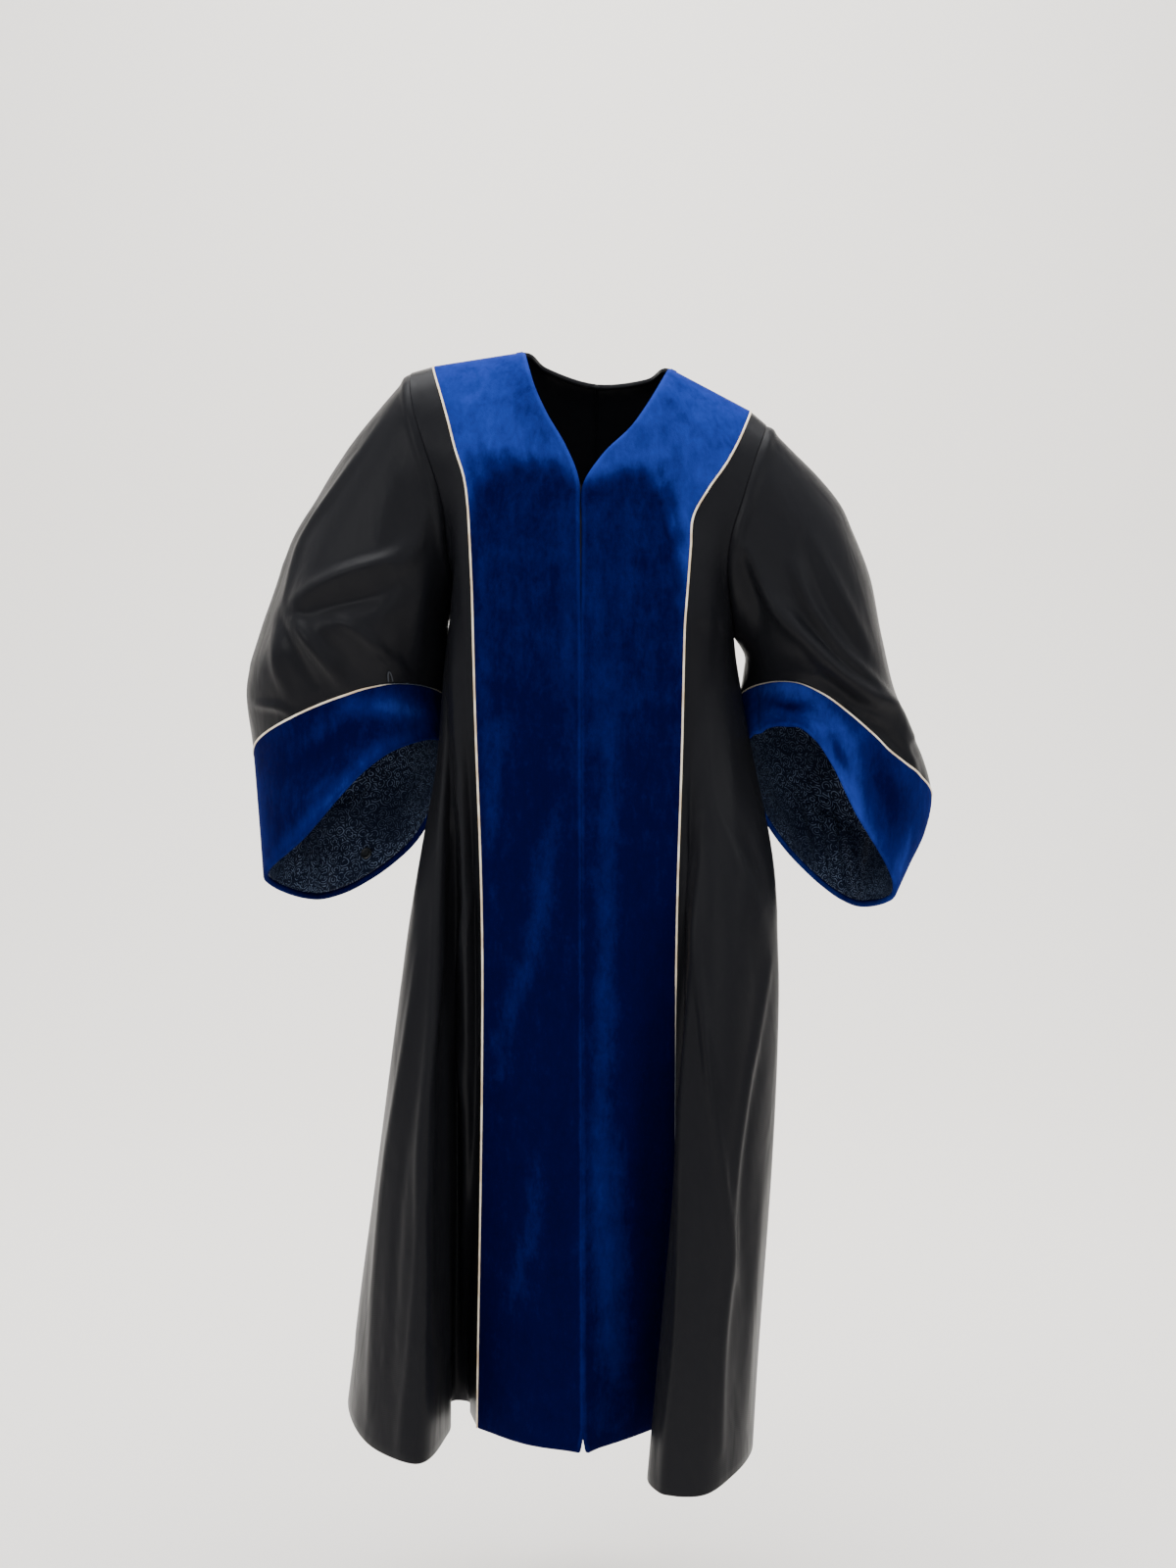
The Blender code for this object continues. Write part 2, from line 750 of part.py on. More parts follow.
def sleeve_start(columns, front, back):
    """The sleeve's first ring, drawn back from the edge of the armhole that it is sewn to.

    Front and back are the body's last column there, the one beside it and its normals.
    """
    around = 2 * YOKE_ROWS
    start = []
    for i, column in enumerate(columns):
        edge, beside, directions = front if i <= YOKE_ROWS else back
        row = i if i <= YOKE_ROWS else around - i
        into_sleeve = (column[1] - column[0]).normalized()
        into_body = beside[row] - edge[row]
        down_the_side = edge[row + 1] - edge[row]
        near_underarm = row > YOKE_ROWS - UNDERARM_ROWS
        if into_sleeve.angle(into_body) < math.pi / 2 or near_underarm and (
            into_sleeve.angle(down_the_side) < math.pi / 2
        ):
            away = directions[row] * (CLOTH + CLEARANCE + CORD_CLEARANCE)
            start.append(column[0] + away + into_sleeve * CLEARANCE)
        else:
            start.append(column[0] + into_sleeve * armhole_gap(into_sleeve, into_body))
    return start


def rings(columns, normals, start, stop, first, last):
    """Part of a sleeve from one ring to another, with its end rings drawn back for the seams."""
    points = [column[start : stop + 1] for column in columns]
    directions = [column[start : stop + 1] for column in normals]
    return with_gaps(points, directions, first, last)


def lining_rings(columns, normals):
    """The last stretch of a sleeve, up from just inside the mouth, for its lining."""
    last = len(columns[0]) - 1
    return rings(columns, normals, last - LINING_ROWS, last, no_gap, lining_gap)


def add_button(place, normal, collection):
    """A round dished button, turned about its own axis, that lies on the lining."""
    half = BUTTON_THICKNESS / 2
    profile = [
        (0.0, -half + BUTTON_DISH),
        (BUTTON_RADIUS - BUTTON_RIM - 0.6, -half + BUTTON_DISH),
        (BUTTON_RADIUS - BUTTON_RIM, -half),
        (BUTTON_RADIUS - 0.5, -half),
        (BUTTON_RADIUS, -half + 0.5),
        (BUTTON_RADIUS, half - 0.5),
        (BUTTON_RADIUS - 0.5, half),
        (0.0, half),
    ]
    mesh = bpy.data.meshes.new("sleeve_button")
    mesh.from_pydata([(r * MM, 0, z * MM) for r, z in profile[::-1]], [(i, i + 1) for i in range(7)], [])
    button = bpy.data.objects.new("sleeve_button", mesh)
    collection.objects.link(button)
    turned = button.modifiers.new("turned", "SCREW")
    turned.steps = 20
    turned.render_steps = 20
    turned.use_merge_vertices = True
    turned.merge_threshold = 0.00001
    turned.use_smooth_shade = False
    button.location = place * MM
    button.rotation_mode = "QUATERNION"
    button.rotation_quaternion = normal.to_track_quat("Z", "Y")
    mesh.materials.append(material("black_button"))


def add_loop(columns, normals, seam, collection):
    """A loop of thread above the cuff seam, on the front of the sleeve."""
    base = columns[LOOP_COLUMN][seam]
    normal = normals[LOOP_COLUMN][seam]
    up = (columns[LOOP_COLUMN][seam - 1] - base).normalized()
    aside = (columns[LOOP_COLUMN + 1][seam] - base).normalized()
    lift = normal * (CLOTH / 2 + CLEARANCE + LOOP_THREAD / 2)
    start = base + up * (PIPING_DIAMETER + 1.0) + aside * LOOP_WIDTH + lift
    path = []
    for step in range(9):
        turn = math.pi * step / 8
        across_loop = aside * (-math.cos(turn) * LOOP_WIDTH / 2)
        path.append(start + across_loop + up * (math.sin(turn) * LOOP_HEIGHT))
    corded("button_loop", path, LOOP_THREAD, "black_cloth", collection)


def add_sleeve(side, columns, normals, seam, start, collection):
    """One sleeve: black cloth, velvet cuff, piping in the seam between them, and lining."""
    points, directions = rings(columns, normals, 0, seam, no_gap, piped_gap)
    for column, first in zip(points, start):
        column[0] = first
    wall(f"sleeve_{side}", points, directions, CLOTH, "black_cloth", collection, closed=True)
    points, directions = rings(columns, normals, seam, len(columns[0]) - 1, piped_gap, no_gap)
    wall(f"cuff_{side}", points, directions, VELVET, "blue_velvet", collection, closed=True)
    path = [column[seam] + normal[seam] * PIPING_STAND_OUT for column, normal in zip(columns, normals)]
    corded(f"cuff_piping_{side}", path, PIPING_DIAMETER, "ivory_piping", collection, closed=True)
    points, directions = lining_rings(columns, normals)
    inset = VELVET / 2 + LAYER_GAP + LINING / 2
    wall(
        f"sleeve_lining_{side}", points, directions, LINING, "navy_lining", collection,
        closed=True, inset=inset,
    )
    if side == "right":
        depth = inset + LINING / 2 + 2 * CORD_CLEARANCE + BUTTON_THICKNESS / 2
        normal = normals[BUTTON_COLUMN][BUTTON_ROW]
        line = columns[BUTTON_COLUMN]
        place = between(line[BUTTON_ROW], line[BUTTON_ROW + 1], BUTTON_SHARE)
        add_button(place - normal * depth, normal, collection)
        add_loop(columns, normals, seam, collection)


def stopped_short(line):
    """A line of a front from the placket's top row to just above the hem."""
    return line[PLACKET_TOP_ROW:-1] + [between(line[-2], line[-1], PLACKET_END_SHARE)]


def add_placket(fronts, collection):
    """A black strip that closes the centre front from behind both velvet edges."""
    inset = VELVET / 2 + LAYER_GAP + CLOTH / 2
    columns, normals = [], []
    for side, order in (("right", (1, 0)), ("left", (0, 1))):
        front_columns, front_normals = fronts[side]
        for i in order:
            share = PLACKET_SHARE if i else 0.0
            line = [between(a, b, share) for a, b in zip(*front_columns[:2])]
            directions = [between(a, b, share).normalized() for a, b in zip(*front_normals[:2])]
            columns.append(stopped_short(line))
            normals.append(stopped_short(directions))
    wall("front_placket", columns, normals, CLOTH, "black_cloth", collection, inset=inset)


def add_body(collection):
    """Bands, fronts, the two halves of the back, piping, centre strip and the sleeves sewn to them."""
    back_columns, back_normals = back_side()
    fronts = {}
    for side, edge, beside in (("right", 0, 1), ("left", -1, -2)):
        columns, normals, piped = front_side(side)
        share_side_seam(normals[-1], back_normals[edge])
        sleeve_columns, sleeve_normals, seam = sleeve_grid(side, columns[-1], back_columns[edge])
        start = sleeve_start(
            sleeve_columns,
            (columns[-1], columns[-2], normals[-1]),
            (back_columns[edge], back_columns[beside], back_normals[edge]),
        )
        add_sleeve(side, sleeve_columns, sleeve_normals, seam, start, collection)
        points, directions = panel(
            columns[: piped + 1], normals[: piped + 1], no_gap, piped_gap, plain_gap
        )
        wall(f"velvet_band_{side}", points, directions, VELVET, "blue_velvet", collection)
        points, directions = panel(columns[piped:], normals[piped:], piped_gap, plain_gap, plain_gap)
        wall(f"front_{side}", points, directions, CLOTH, "black_cloth", collection)
        path = [p + n * PIPING_STAND_OUT for p, n in zip(columns[piped], normals[piped])]
        corded(f"band_piping_{side}", path, PIPING_DIAMETER, "ivory_piping", collection)
        fronts[side] = (columns, normals)
    centre = CENTRE_BACK * BACK_FOLD_STEPS
    for side, half in (("right", slice(0, centre + 1)), ("left", slice(centre, None))):
        points, directions = panel(back_columns[half], back_normals[half], plain_gap, plain_gap, plain_gap)
        wall(f"back_{side}", points, directions, CLOTH, "black_cloth", collection)
    add_placket(fronts, collection)


def main():
    """Builds the robe in a collection of its own."""
    for old in list(bpy.data.objects):
        bpy.data.objects.remove(old, do_unlink=True)
    collection = bpy.data.collections.new("judicial_robe")
    bpy.context.scene.collection.children.link(collection)
    add_body(collection)


main()
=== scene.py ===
"""Judicial robe, worn and empty: satin twill, velvet bands and cuffs, corded piping and lining.

The robe's frame has +Z up and the front towards -Y, with the origin in the neck opening at the
height of the shoulders. Sizes are millimetres until a mesh is made, in metres. Right and left
are the wearer's: the wearer's right is on the -X side.
"""

from __future__ import annotations

import json
import logging
import math
from dataclasses import dataclass, field
from enum import Enum
from typing import Callable, NamedTuple, Sequence

import bmesh
import bpy
import numpy as np
from mathutils import Matrix, Vector

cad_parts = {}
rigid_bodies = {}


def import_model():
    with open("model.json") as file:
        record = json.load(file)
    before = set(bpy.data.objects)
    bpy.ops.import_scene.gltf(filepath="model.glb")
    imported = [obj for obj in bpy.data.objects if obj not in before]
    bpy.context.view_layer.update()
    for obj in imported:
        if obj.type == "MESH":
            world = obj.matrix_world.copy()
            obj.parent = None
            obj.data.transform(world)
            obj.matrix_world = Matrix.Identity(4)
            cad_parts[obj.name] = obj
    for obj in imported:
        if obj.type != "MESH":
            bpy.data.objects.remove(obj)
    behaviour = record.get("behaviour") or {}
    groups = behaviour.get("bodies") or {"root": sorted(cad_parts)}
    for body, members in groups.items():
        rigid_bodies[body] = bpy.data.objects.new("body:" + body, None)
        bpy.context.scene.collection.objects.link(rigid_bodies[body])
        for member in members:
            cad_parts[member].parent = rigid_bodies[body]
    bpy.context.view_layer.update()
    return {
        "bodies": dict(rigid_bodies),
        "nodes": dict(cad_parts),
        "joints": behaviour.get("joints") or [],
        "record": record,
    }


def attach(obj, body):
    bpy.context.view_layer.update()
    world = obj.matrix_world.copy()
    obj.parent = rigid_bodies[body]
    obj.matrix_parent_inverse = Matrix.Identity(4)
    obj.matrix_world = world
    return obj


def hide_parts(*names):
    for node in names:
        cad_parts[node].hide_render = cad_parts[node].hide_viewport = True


LOG = logging.getLogger("judicial_robe")
MM = 0.001
BODY = "root"
Grid = np.ndarray


class Side(Enum):
    """A side of the robe, as its wearer names it."""

    RIGHT = "right"
    LEFT = "left"


class Hang(Enum):
    """How a sheet of cloth is held."""

    HUNG = "hung"
    DRAPED = "draped"


class SeamPoint(NamedTuple):
    """A point of a seam as seen from the front."""

    x: float
    z: float


def seam_points(*points: tuple[float, float]) -> list[SeamPoint]:
    """The points of a seam, from the top down."""
    return [SeamPoint(*point) for point in points]


class FoldLine(NamedTuple):
    """A line down the body, given by its plan at the chest, the hip and the hem."""

    name: str
    chest_x: float
    chest_y: float
    hip_x: float
    hip_y: float
    hem_x: float
    hem_y: float
    hem_drop: float


class Crease(NamedTuple):
    """A soft ridge, or a trough where its height is negative, along points seen from the front."""

    path: tuple
    width: float
    height: float


# The body's rows from the shoulders to the chest and on to the hem.
YOKE_ROWS = 12
SKIRT_ROWS = 10
HIP_Z = -650.0
HEM_Z = -1220.0
CHEST_Z = -277.0
CHEST_TILT = -0.16
# The neck at the back, and the armholes to the front and the back of the shoulder seams.
BACK_NECK_DEPTH = 60.0
BACK_NECK_DROP = 22.0
ARMHOLE_FRONT_DEPTH = 75.0
ARMHOLE_BACK_DEPTH = 80.0
ARMHOLE_BACK_BOW = 8.0
# How far the velvet's pile stands up, from 0 to 1, with painted top light in the same value: low below,
# rising towards the chest and high over the shoulders; and how far its bright edge wanders.
LOW_NAP_AND_LIGHT = 0.32
CHEST_NAP_AND_LIGHT = 0.08
HIGH_NAP_AND_LIGHT = 0.86
NAP_SOFTNESS = 17.0
NAP_RIPPLE = 2.6
NAP_WAVES = ((1 / 9.0, 0), (1 / 3.7, 1 / 11.0), (-1 / 17.0, 1 / 7.3))
NAP_EASE = 60.0
# The width of the painted highlight along the bands' rolled centre edges.
EDGE_HIGHLIGHT_REACH = 1.5
# The notch at the foot of the centre.
NOTCH_HEIGHT = 30.0
NOTCH_WIDTH = 5.2
NOTCH_REACH = 20.8
NOTCH_POWER = 1.3
# Creases and kinks, and how they ease off.
SEAM_REACH = 10.0
EASE_LENGTH = 24.0
EASE_POWER = 4
EASE_TIMES = 120
CREASE_STEPS = 4
CREASE_START = 0.12
# Piping, and how far it narrows where it is pulled in under its seam.
PIPING_RADIUS = 1.2
CORD_ROUNDNESS = 4
PULLED_IN = 0.62
# Points that lie nearer than this, in metres, are one.
SAME_POINT = 1e-6
# The shortest lengths, in millimetres, that are divided by.
SHORTEST_STEP = 1e-6
SHORTEST_VECTOR = 1e-9

NECKLINE = {
    Side.RIGHT: seam_points(
        (-72, 13), (-60, -28), (-47, -57), (-31, -86), (-17, -108), (-11.5, -127), (-10, -190),
        (-8.5, -290),
    ),
    Side.LEFT: seam_points(
        (92, -5), (74, -36), (53, -68), (22, -100), (2, -118), (-4.5, -129), (-5.5, -190),
        (-7, -290),
    ),
}
PIPED_SEAM = {
    Side.RIGHT: seam_points(
        (-175, -3), (-158, -55), (-146, -99), (-135, -135), (-131, -175), (-127, -257),
    ),
    Side.LEFT: seam_points(
        (184, -53), (159, -104), (126, -152), (115, -175), (113, -204), (106, -294),
    ),
}
ARMHOLE = {
    Side.RIGHT: seam_points(
        (-200, -10), (-197, -38), (-182, -90), (-168, -131), (-160, -165), (-156, -215),
        (-150, -253),
    ),
    Side.LEFT: seam_points(
        (202, -68), (184, -111), (170, -155), (157, -199), (155, -240), (160, -273), (165, -303),
    ),
}
BAND = {
    Side.RIGHT: [
        FoldLine("centre edge", -8.2, -112, -7.3, -132, -5.4, -140, 0),
        FoldLine("band middle", -68, -113, -62, -131, -68, -118, 0),
        FoldLine("piped seam", -127, -100, -117, -113, -128, -70, 0),
    ],
    Side.LEFT: [
        FoldLine("centre edge", -7.4, -112, -7.0, -132, -5.0, -140, 0),
        FoldLine("band middle", 50, -111, 46, -128, 48, -98, 0),
        FoldLine("piped seam", 106, -98, 98, -110, 101, -48, 0),
    ],
}
FRONT = {
    Side.RIGHT: [
        FoldLine("tuck by the piping", -138, -92, -126, -98, -138, -28, 0),
        FoldLine("narrow ridge", -146, -82, -136, -112, -146, 10, 0),
        FoldLine("deep valley", -151, -70, -149, -78, -153, 12, 0),
        FoldLine("lobe flank", -152, -57, -158, -90, -161, -80, 2),
        FoldLine("lobe front", -152, -44, -172, -120, -193, -164, 3),
        FoldLine("lobe crease", -151, -29, -193, -105, -240, -132, 0),
        FoldLine("outer side", -150, -13, -204, -52, -280, -8, -22),
        FoldLine("side seam", -150, 5, -168, 5, -258, 48, -20),
    ],
    Side.LEFT: [
        FoldLine("tuck by the piping", 118, -92, 110, -104, 113, -64, 8),
        FoldLine("hidden flank", 128, -85, 114, -120, 99, -112, 18),
        FoldLine("lobe edge", 138, -76, 117, -136, 67, -150, 26),
        FoldLine("lobe front", 147, -65, 133, -147, 85, -189, 27),
        FoldLine("lobe crest", 155, -52, 158, -146, 125, -195, 26),
        FoldLine("lobe far side", 161, -36, 184, -126, 162, -160, 18),
        FoldLine("outer side", 165, -17, 213, -84, 189, -86, 11),
        FoldLine("side seam", 165, 5, 174, 2, 166, -20, 12),
    ],
}
BACK = [
    FRONT[Side.RIGHT][-1],
    FoldLine("side lobe right", -151, 45, -182, 62, -242, 112, -10),
    FoldLine("side valley right", -146, 78, -158, 90, -172, 92, 0),
    FoldLine("outer lobe right", -125, 101, -138, 133, -150, 178, 3),
    FoldLine("neck corner right", -96, 112, -98, 118, -98, 132, 3),
    FoldLine("inner lobe right", -48, 118, -56, 151, -58, 200, 5),
    FoldLine("centre back", 6, 118, -2, 128, -5, 142, 5),
    FoldLine("inner lobe left", 60, 117, 52, 152, 48, 204, 7),
    FoldLine("neck corner left", 104, 110, 92, 121, 86, 134, 10),
    FoldLine("outer lobe left", 132, 98, 135, 138, 132, 182, 14),
    FoldLine("side valley left", 153, 76, 162, 98, 142, 96, 16),
    FoldLine("side lobe left", 163, 44, 224, 72, 192, 66, 12),
    FRONT[Side.LEFT][-1],
]
NECK_CORNERS = [i for i, line in enumerate(BACK) if line.name.startswith("neck corner")]
CENTRE_BACK = [line.name for line in BACK].index("centre back")

# Sections of a sleeve through six points round it, which start at the outer one and go past the front.
SLEEVES = {
    Side.RIGHT: {
        "upper arm": (
            (-307, 28, -139), (-276, -62, -186), (-205, -88, -235),
            (-162, 20, -296), (-210, 108, -242), (-279, 102, -181),
        ),
        "elbow": (
            (-397, 58, -390), (-338, -62, -322), (-232, -88, -305),
            (-157, 48, -345), (-238, 142, -345), (-340, 142, -355),
        ),
        "cuff seam": (
            (-391, 44, -447), (-334, -50, -396), (-226, -66, -358),
            (-163, 42, -386), (-218, 120, -462), (-330, 132, -515),
        ),
        "mouth": (
            (-375, 4, -590), (-322, -68, -531), (-222, -78, -433),
            (-165, -14, -424), (-204, 50, -552), (-320, 64, -622),
        ),
    },
    Side.LEFT: {
        "upper arm": (
            (291, 22, -160), (264, -66, -212), (210, -84, -270),
            (181, 18, -328), (214, 106, -278), (262, 100, -210),
        ),
        "elbow": (
            (361, 55, -394), (319, -56, -349), (236, -82, -325),
            (182, 42, -352), (240, 138, -372), (330, 140, -392),
        ),
        "cuff seam": (
            (402, 44, -500), (345, -44, -436), (238, -62, -357),
            (177, 28, -378), (224, 112, -470), (340, 124, -548),
        ),
        "mouth": (
            (354, 4, -612), (309, -62, -510), (232, -84, -402),
            (182, -32, -420), (238, 50, -566), (318, 52, -628),
        ),
    },
}

# The crown of the right sleeve and the flatter stretch above its elbow, seen from both sides.
RIGHT_SLEEVE_CAP = (
    Crease(((-206, -12), (-238, -40), (-270, -84)), 20, 4),
    Crease(((-350, -225), (-368, -262), (-380, -300), (-392, -340)), 24, -9),
)
SIDE_FULLNESS = {
    Side.RIGHT: Crease(((-152, -275), (-158, -330), (-164, -420)), 26, 6),
    Side.LEFT: Crease(((176, -370), (196, -480), (208, -600)), 28, 6),
}
SLEEVE_CREASES = {
    Side.RIGHT: {
        "front": [
            # From the shoulder, with the hollows beside the long ridges.
            Crease(
                ((-204, -24), (-242, -83), (-288, -147), (-321, -192), (-338, -237), (-344, -262)),
                5, 4.5,
            ),
            *RIGHT_SLEEVE_CAP,
            Crease(((-236, -52), (-256, -76), (-300, -134), (-332, -196)), 7, -4),
            Crease(((-180, -110), (-177, -153), (-184, -190), (-198, -220), (-212, -230)), 8, 6),
            Crease(((-206, -80), (-200, -140), (-212, -200)), 12, -5),
            # The arch inside the elbow, and what falls from it.
            Crease(((-326, -266), (-302, -251), (-258, -232), (-218, -219), (-196, -202)), 10, 9),
            Crease(((-326, -280), (-273, -266), (-234, -257), (-206, -244)), 15, -10),
            Crease(((-328, -286), (-313, -305), (-293, -330), (-273, -358)), 7, 8),
            Crease(((-300, -296), (-274, -322), (-254, -350)), 12, -5),
            Crease(((-275, -286), (-253, -298), (-234, -315), (-212, -344)), 6, 5),
            Crease(((-350, -280), (-335, -311), (-305, -358)), 6, -5),
            Crease(((-356, -306), (-350, -340), (-334, -374)), 7, 3),
            # By the cuff, along the inner side and at the loop.
            Crease(((-379, -384), (-343, -387), (-331, -393)), 5, 4),
            Crease(((-172, -183), (-180, -227), (-189, -280), (-192, -330)), 10, 4),
            Crease(((-216, -325), (-205, -349)), 4, 2.5),
        ],
        "back": [
            # Long ridges down to the drape over the cuff, and the crook of the elbow.
            Crease(((-306, -160), (-270, -240), (-230, -330)), 26, -12),
            *RIGHT_SLEEVE_CAP,
            Crease(((-250, -110), (-304, -220), (-338, -320)), 14, 9),
            Crease(((-222, -60), (-262, -130), (-304, -196)), 7, 4),
            Crease(((-344, -350), (-306, -415), (-250, -470)), 14, 9),
            Crease(((-372, -400), (-330, -470), (-280, -505)), 10, 5),
            Crease(((-232, -290), (-286, -300), (-332, -345)), 11, 5),
            Crease(((-226, -314), (-280, -328), (-326, -376)), 14, -6),
        ],
    },
    Side.LEFT: {
        "front": [
            # The fold under the arm, and the ridges that run on from it to the cuff.
            Crease(
                ((162, -197), (177, -216), (189, -242), (209, -273), (241, -307), (276, -341),
                (316, -370), (345, -387), (369, -422)), 8, 11,
            ),
            Crease(((158, -192), (168, -198), (178, -210), (188, -234)), 5, 6),
            Crease(((162, -208), (169, -224), (176, -248), (182, -284)), 8, -9),
            Crease(((168, -216), (178, -242), (186, -268), (192, -296)), 9, -13),
            Crease(((226, -222), (247, -273), (276, -313), (311, -347), (345, -379)), 7, 6),
            Crease(((212, -228), (240, -280), (280, -324)), 9, -5),
            Crease(((250, -199), (280, -257), (312, -318)), 8, 4),
            Crease(((240, -206), (266, -268), (300, -318)), 9, -4),
            # Under the elbow and by the cuff.
            Crease(((262, -352), (300, -382), (330, -404), (365, -440)), 10, -9),
            Crease(((306, -386), (336, -402)), 5, 5),
            Crease(((343, -407), (361, -430), (375, -461)), 6, 5),
            Crease(((330, -420), (352, -452)), 5, -3),
        ],
        "back": [
            # As on the right.
            Crease(((300, -190), (262, -270), (230, -350)), 24, -16),
            Crease(((240, -150), (284, -262), (326, -370)), 14, 9),
            Crease(((216, -110), (262, -190), (302, -290)), 7, 4),
            Crease(((342, -396), (306, -450), (260, -490)), 14, 9),
            Crease(((372, -440), (330, -500), (286, -520)), 10, 5),
            Crease(((236, -300), (290, -320), (344, -372)), 9, 6),
            Crease(((232, -324), (284, -346), (334, -398)), 12, -7),
        ],
    },
}
CUFF_CREASES = {
    Side.RIGHT: {
        "front": [
            Crease(((-330, -470), (-280, -420), (-236, -400)), 20, -4),
            Crease(((-340, -520), (-282, -470), (-232, -428)), 9, 2),
        ],
        "back": [Crease(((-330, -540), (-270, -520)), 22, -4)],
    },
    Side.LEFT: {
        "front": [
            # The seam under the arm and its tucks.
            Crease(((193, -352), (193, -395), (192, -436)), 2.2, -3),
            Crease(((187, -352), (187, -395), (187, -436)), 4, 2.5),
            Crease(((198, -388), (216, -396), (240, -396)), 3, -3),
            Crease(((198, -400), (218, -410), (240, -408)), 8, 3),
            Crease(((300, -450), (330, -520)), 18, -5),
        ],
        "back": [Crease(((330, -560), (270, -530)), 22, -4)],
    },
}
# Wrinkles that run up the lining from the mouths.
LINING_CREASES = {
    Side.RIGHT: {
        "back": [
            Crease(((-262, -470), (-268, -520)), 6, 5),
            Crease(((-278, -468), (-272, -505)), 7, -8),
            Crease(((-348, -545), (-344, -600)), 5, 5),
            Crease(((-331, -552), (-330, -606)), 5, 4),
            Crease(((-310, -560), (-312, -604)), 5, 5),
            Crease(((-292, -566), (-290, -600)), 5, 3),
        ],
    },
    Side.LEFT: {
        "back": [
            Crease(((252, -520), (262, -575)), 6, 5),
            Crease(((272, -505), (282, -595)), 6, 4),
            Crease(((292, -520), (300, -608)), 6, 6),
            Crease(((312, -540), (320, -610)), 5, 4),
        ],
    },
}
FRONT_CREASES = {
    Side.RIGHT: [
        # The crest of the large fold, and the thin ridges and hollows on both sides of it.
        Crease(
            ((-141, -463), (-163, -572), (-168, -690), (-177, -775), (-186, -877), (-187, -964),
            (-196, -1086), (-210, -1209)), 6, 4.5,
        ),
        Crease(((-186, -640), (-200, -740), (-228, -906), (-242, -1047), (-248, -1190)), 5, 4),
        Crease(((-176, -600), (-188, -760), (-210, -930), (-222, -1150)), 8, -3),
        Crease(
            ((-123, -560), (-136, -613), (-146, -768), (-138, -838), (-138, -908), (-143, -1014),
            (-145, -1139)), 4.5, 4.5,
        ),
        Crease(((-150, -600), (-155, -657), (-160, -743), (-165, -918), (-168, -1096)), 7, -5),
        # Chest, hip and side.
        Crease(((-168, -150), (-150, -230), (-146, -330)), 8, -2.5),
        Crease(((-150, -400), (-156, -480), (-164, -560)), 7, 3),
        SIDE_FULLNESS[Side.RIGHT],
        Crease(((-222, -700), (-252, -900), (-272, -1120)), 8, 3),
    ],
    Side.LEFT: [
        # As on the right.
        Crease(
            ((114, -560), (114, -641), (105, -783), (103, -936), (99, -1064), (87, -1195), (83, -1247)),
            6, 4.5,
        ),
        Crease(((105, -439), (107, -564), (99, -708)), 5, 3),
        Crease(
            ((112, -540), (118, -623), (131, -765), (148, -892), (157, -985), (149, -1071),
            (146, -1200)), 5, 4.5,
        ),
        Crease(((120, -720), (122, -900), (120, -1100)), 9, -3),
        Crease(((132, -420), (140, -496), (173, -563), (196, -640)), 9, 3.5),
        Crease(((204, -660), (193, -709), (173, -818), (161, -937), (162, -1010)), 5, 4),
        Crease(((184, -780), (170, -880), (172, -1040)), 9, -3),
        # Armhole and side.
        Crease(((166, -170), (150, -260), (140, -360)), 9, -2.5),
        SIDE_FULLNESS[Side.LEFT],
        Crease(((196, -900), (184, -1040), (176, -1180)), 8, 3),
    ],
}
# From the shoulders, then from the right to the left, and along the sides.
BACK_CREASES = [
    Crease(((-150, -60), (-128, -180), (-112, -330)), 12, -4),
    Crease(((168, -110), (140, -220), (124, -360)), 12, -4),
    Crease(((-120, -300), (-128, -620), (-150, -1180)), 9, 4),
    Crease(((-84, -360), (-88, -700), (-96, -1150)), 12, -4),
    Crease(((-40, -260), (-46, -600), (-62, -1160)), 8, 4),
    Crease(((-14, -520), (-22, -820), (-30, -1060)), 7, 3),
    Crease(((38, -300), (44, -640), (52, -1190)), 9, 4),
    Crease(((82, -420), (84, -760), (92, -1140)), 12, -4),
    Crease(((122, -340), (134, -700), (138, -1200)), 8, 4),
    Crease(((176, -520), (190, -700), (184, -960)), 9, 3),
    Crease(((-166, -480), (-196, -760), (-226, -1080)), 9, 3),
    *SIDE_FULLNESS.values(),
]

# A painted highlight along the bands' rolled centre edges, and how far the pile stands up on the cuffs,
# with their painted sheen.
EDGE_HIGHLIGHT = {Side.RIGHT: 0.50, Side.LEFT: 0.30}
CUFF_NAP_AND_LIGHT = {Side.RIGHT: 0.38, Side.LEFT: 0.58}
# The line below the shoulders where the bright, raised pile and its painted top light end.
BRIGHT_EDGE = {
    Side.RIGHT: (
        (-178, -300), (-135, -190), (-127, -150), (-119, -124), (-99, -106), (-69, -112), (-41, -111),
        (-20, -124), (-8, -134),
    ),
    Side.LEFT: (
        (-6, -132), (20, -126), (45, -121), (75, -124), (84, -137), (92, -165), (98, -200),
        (104, -255), (116, -320), (190, -500),
    ),
}
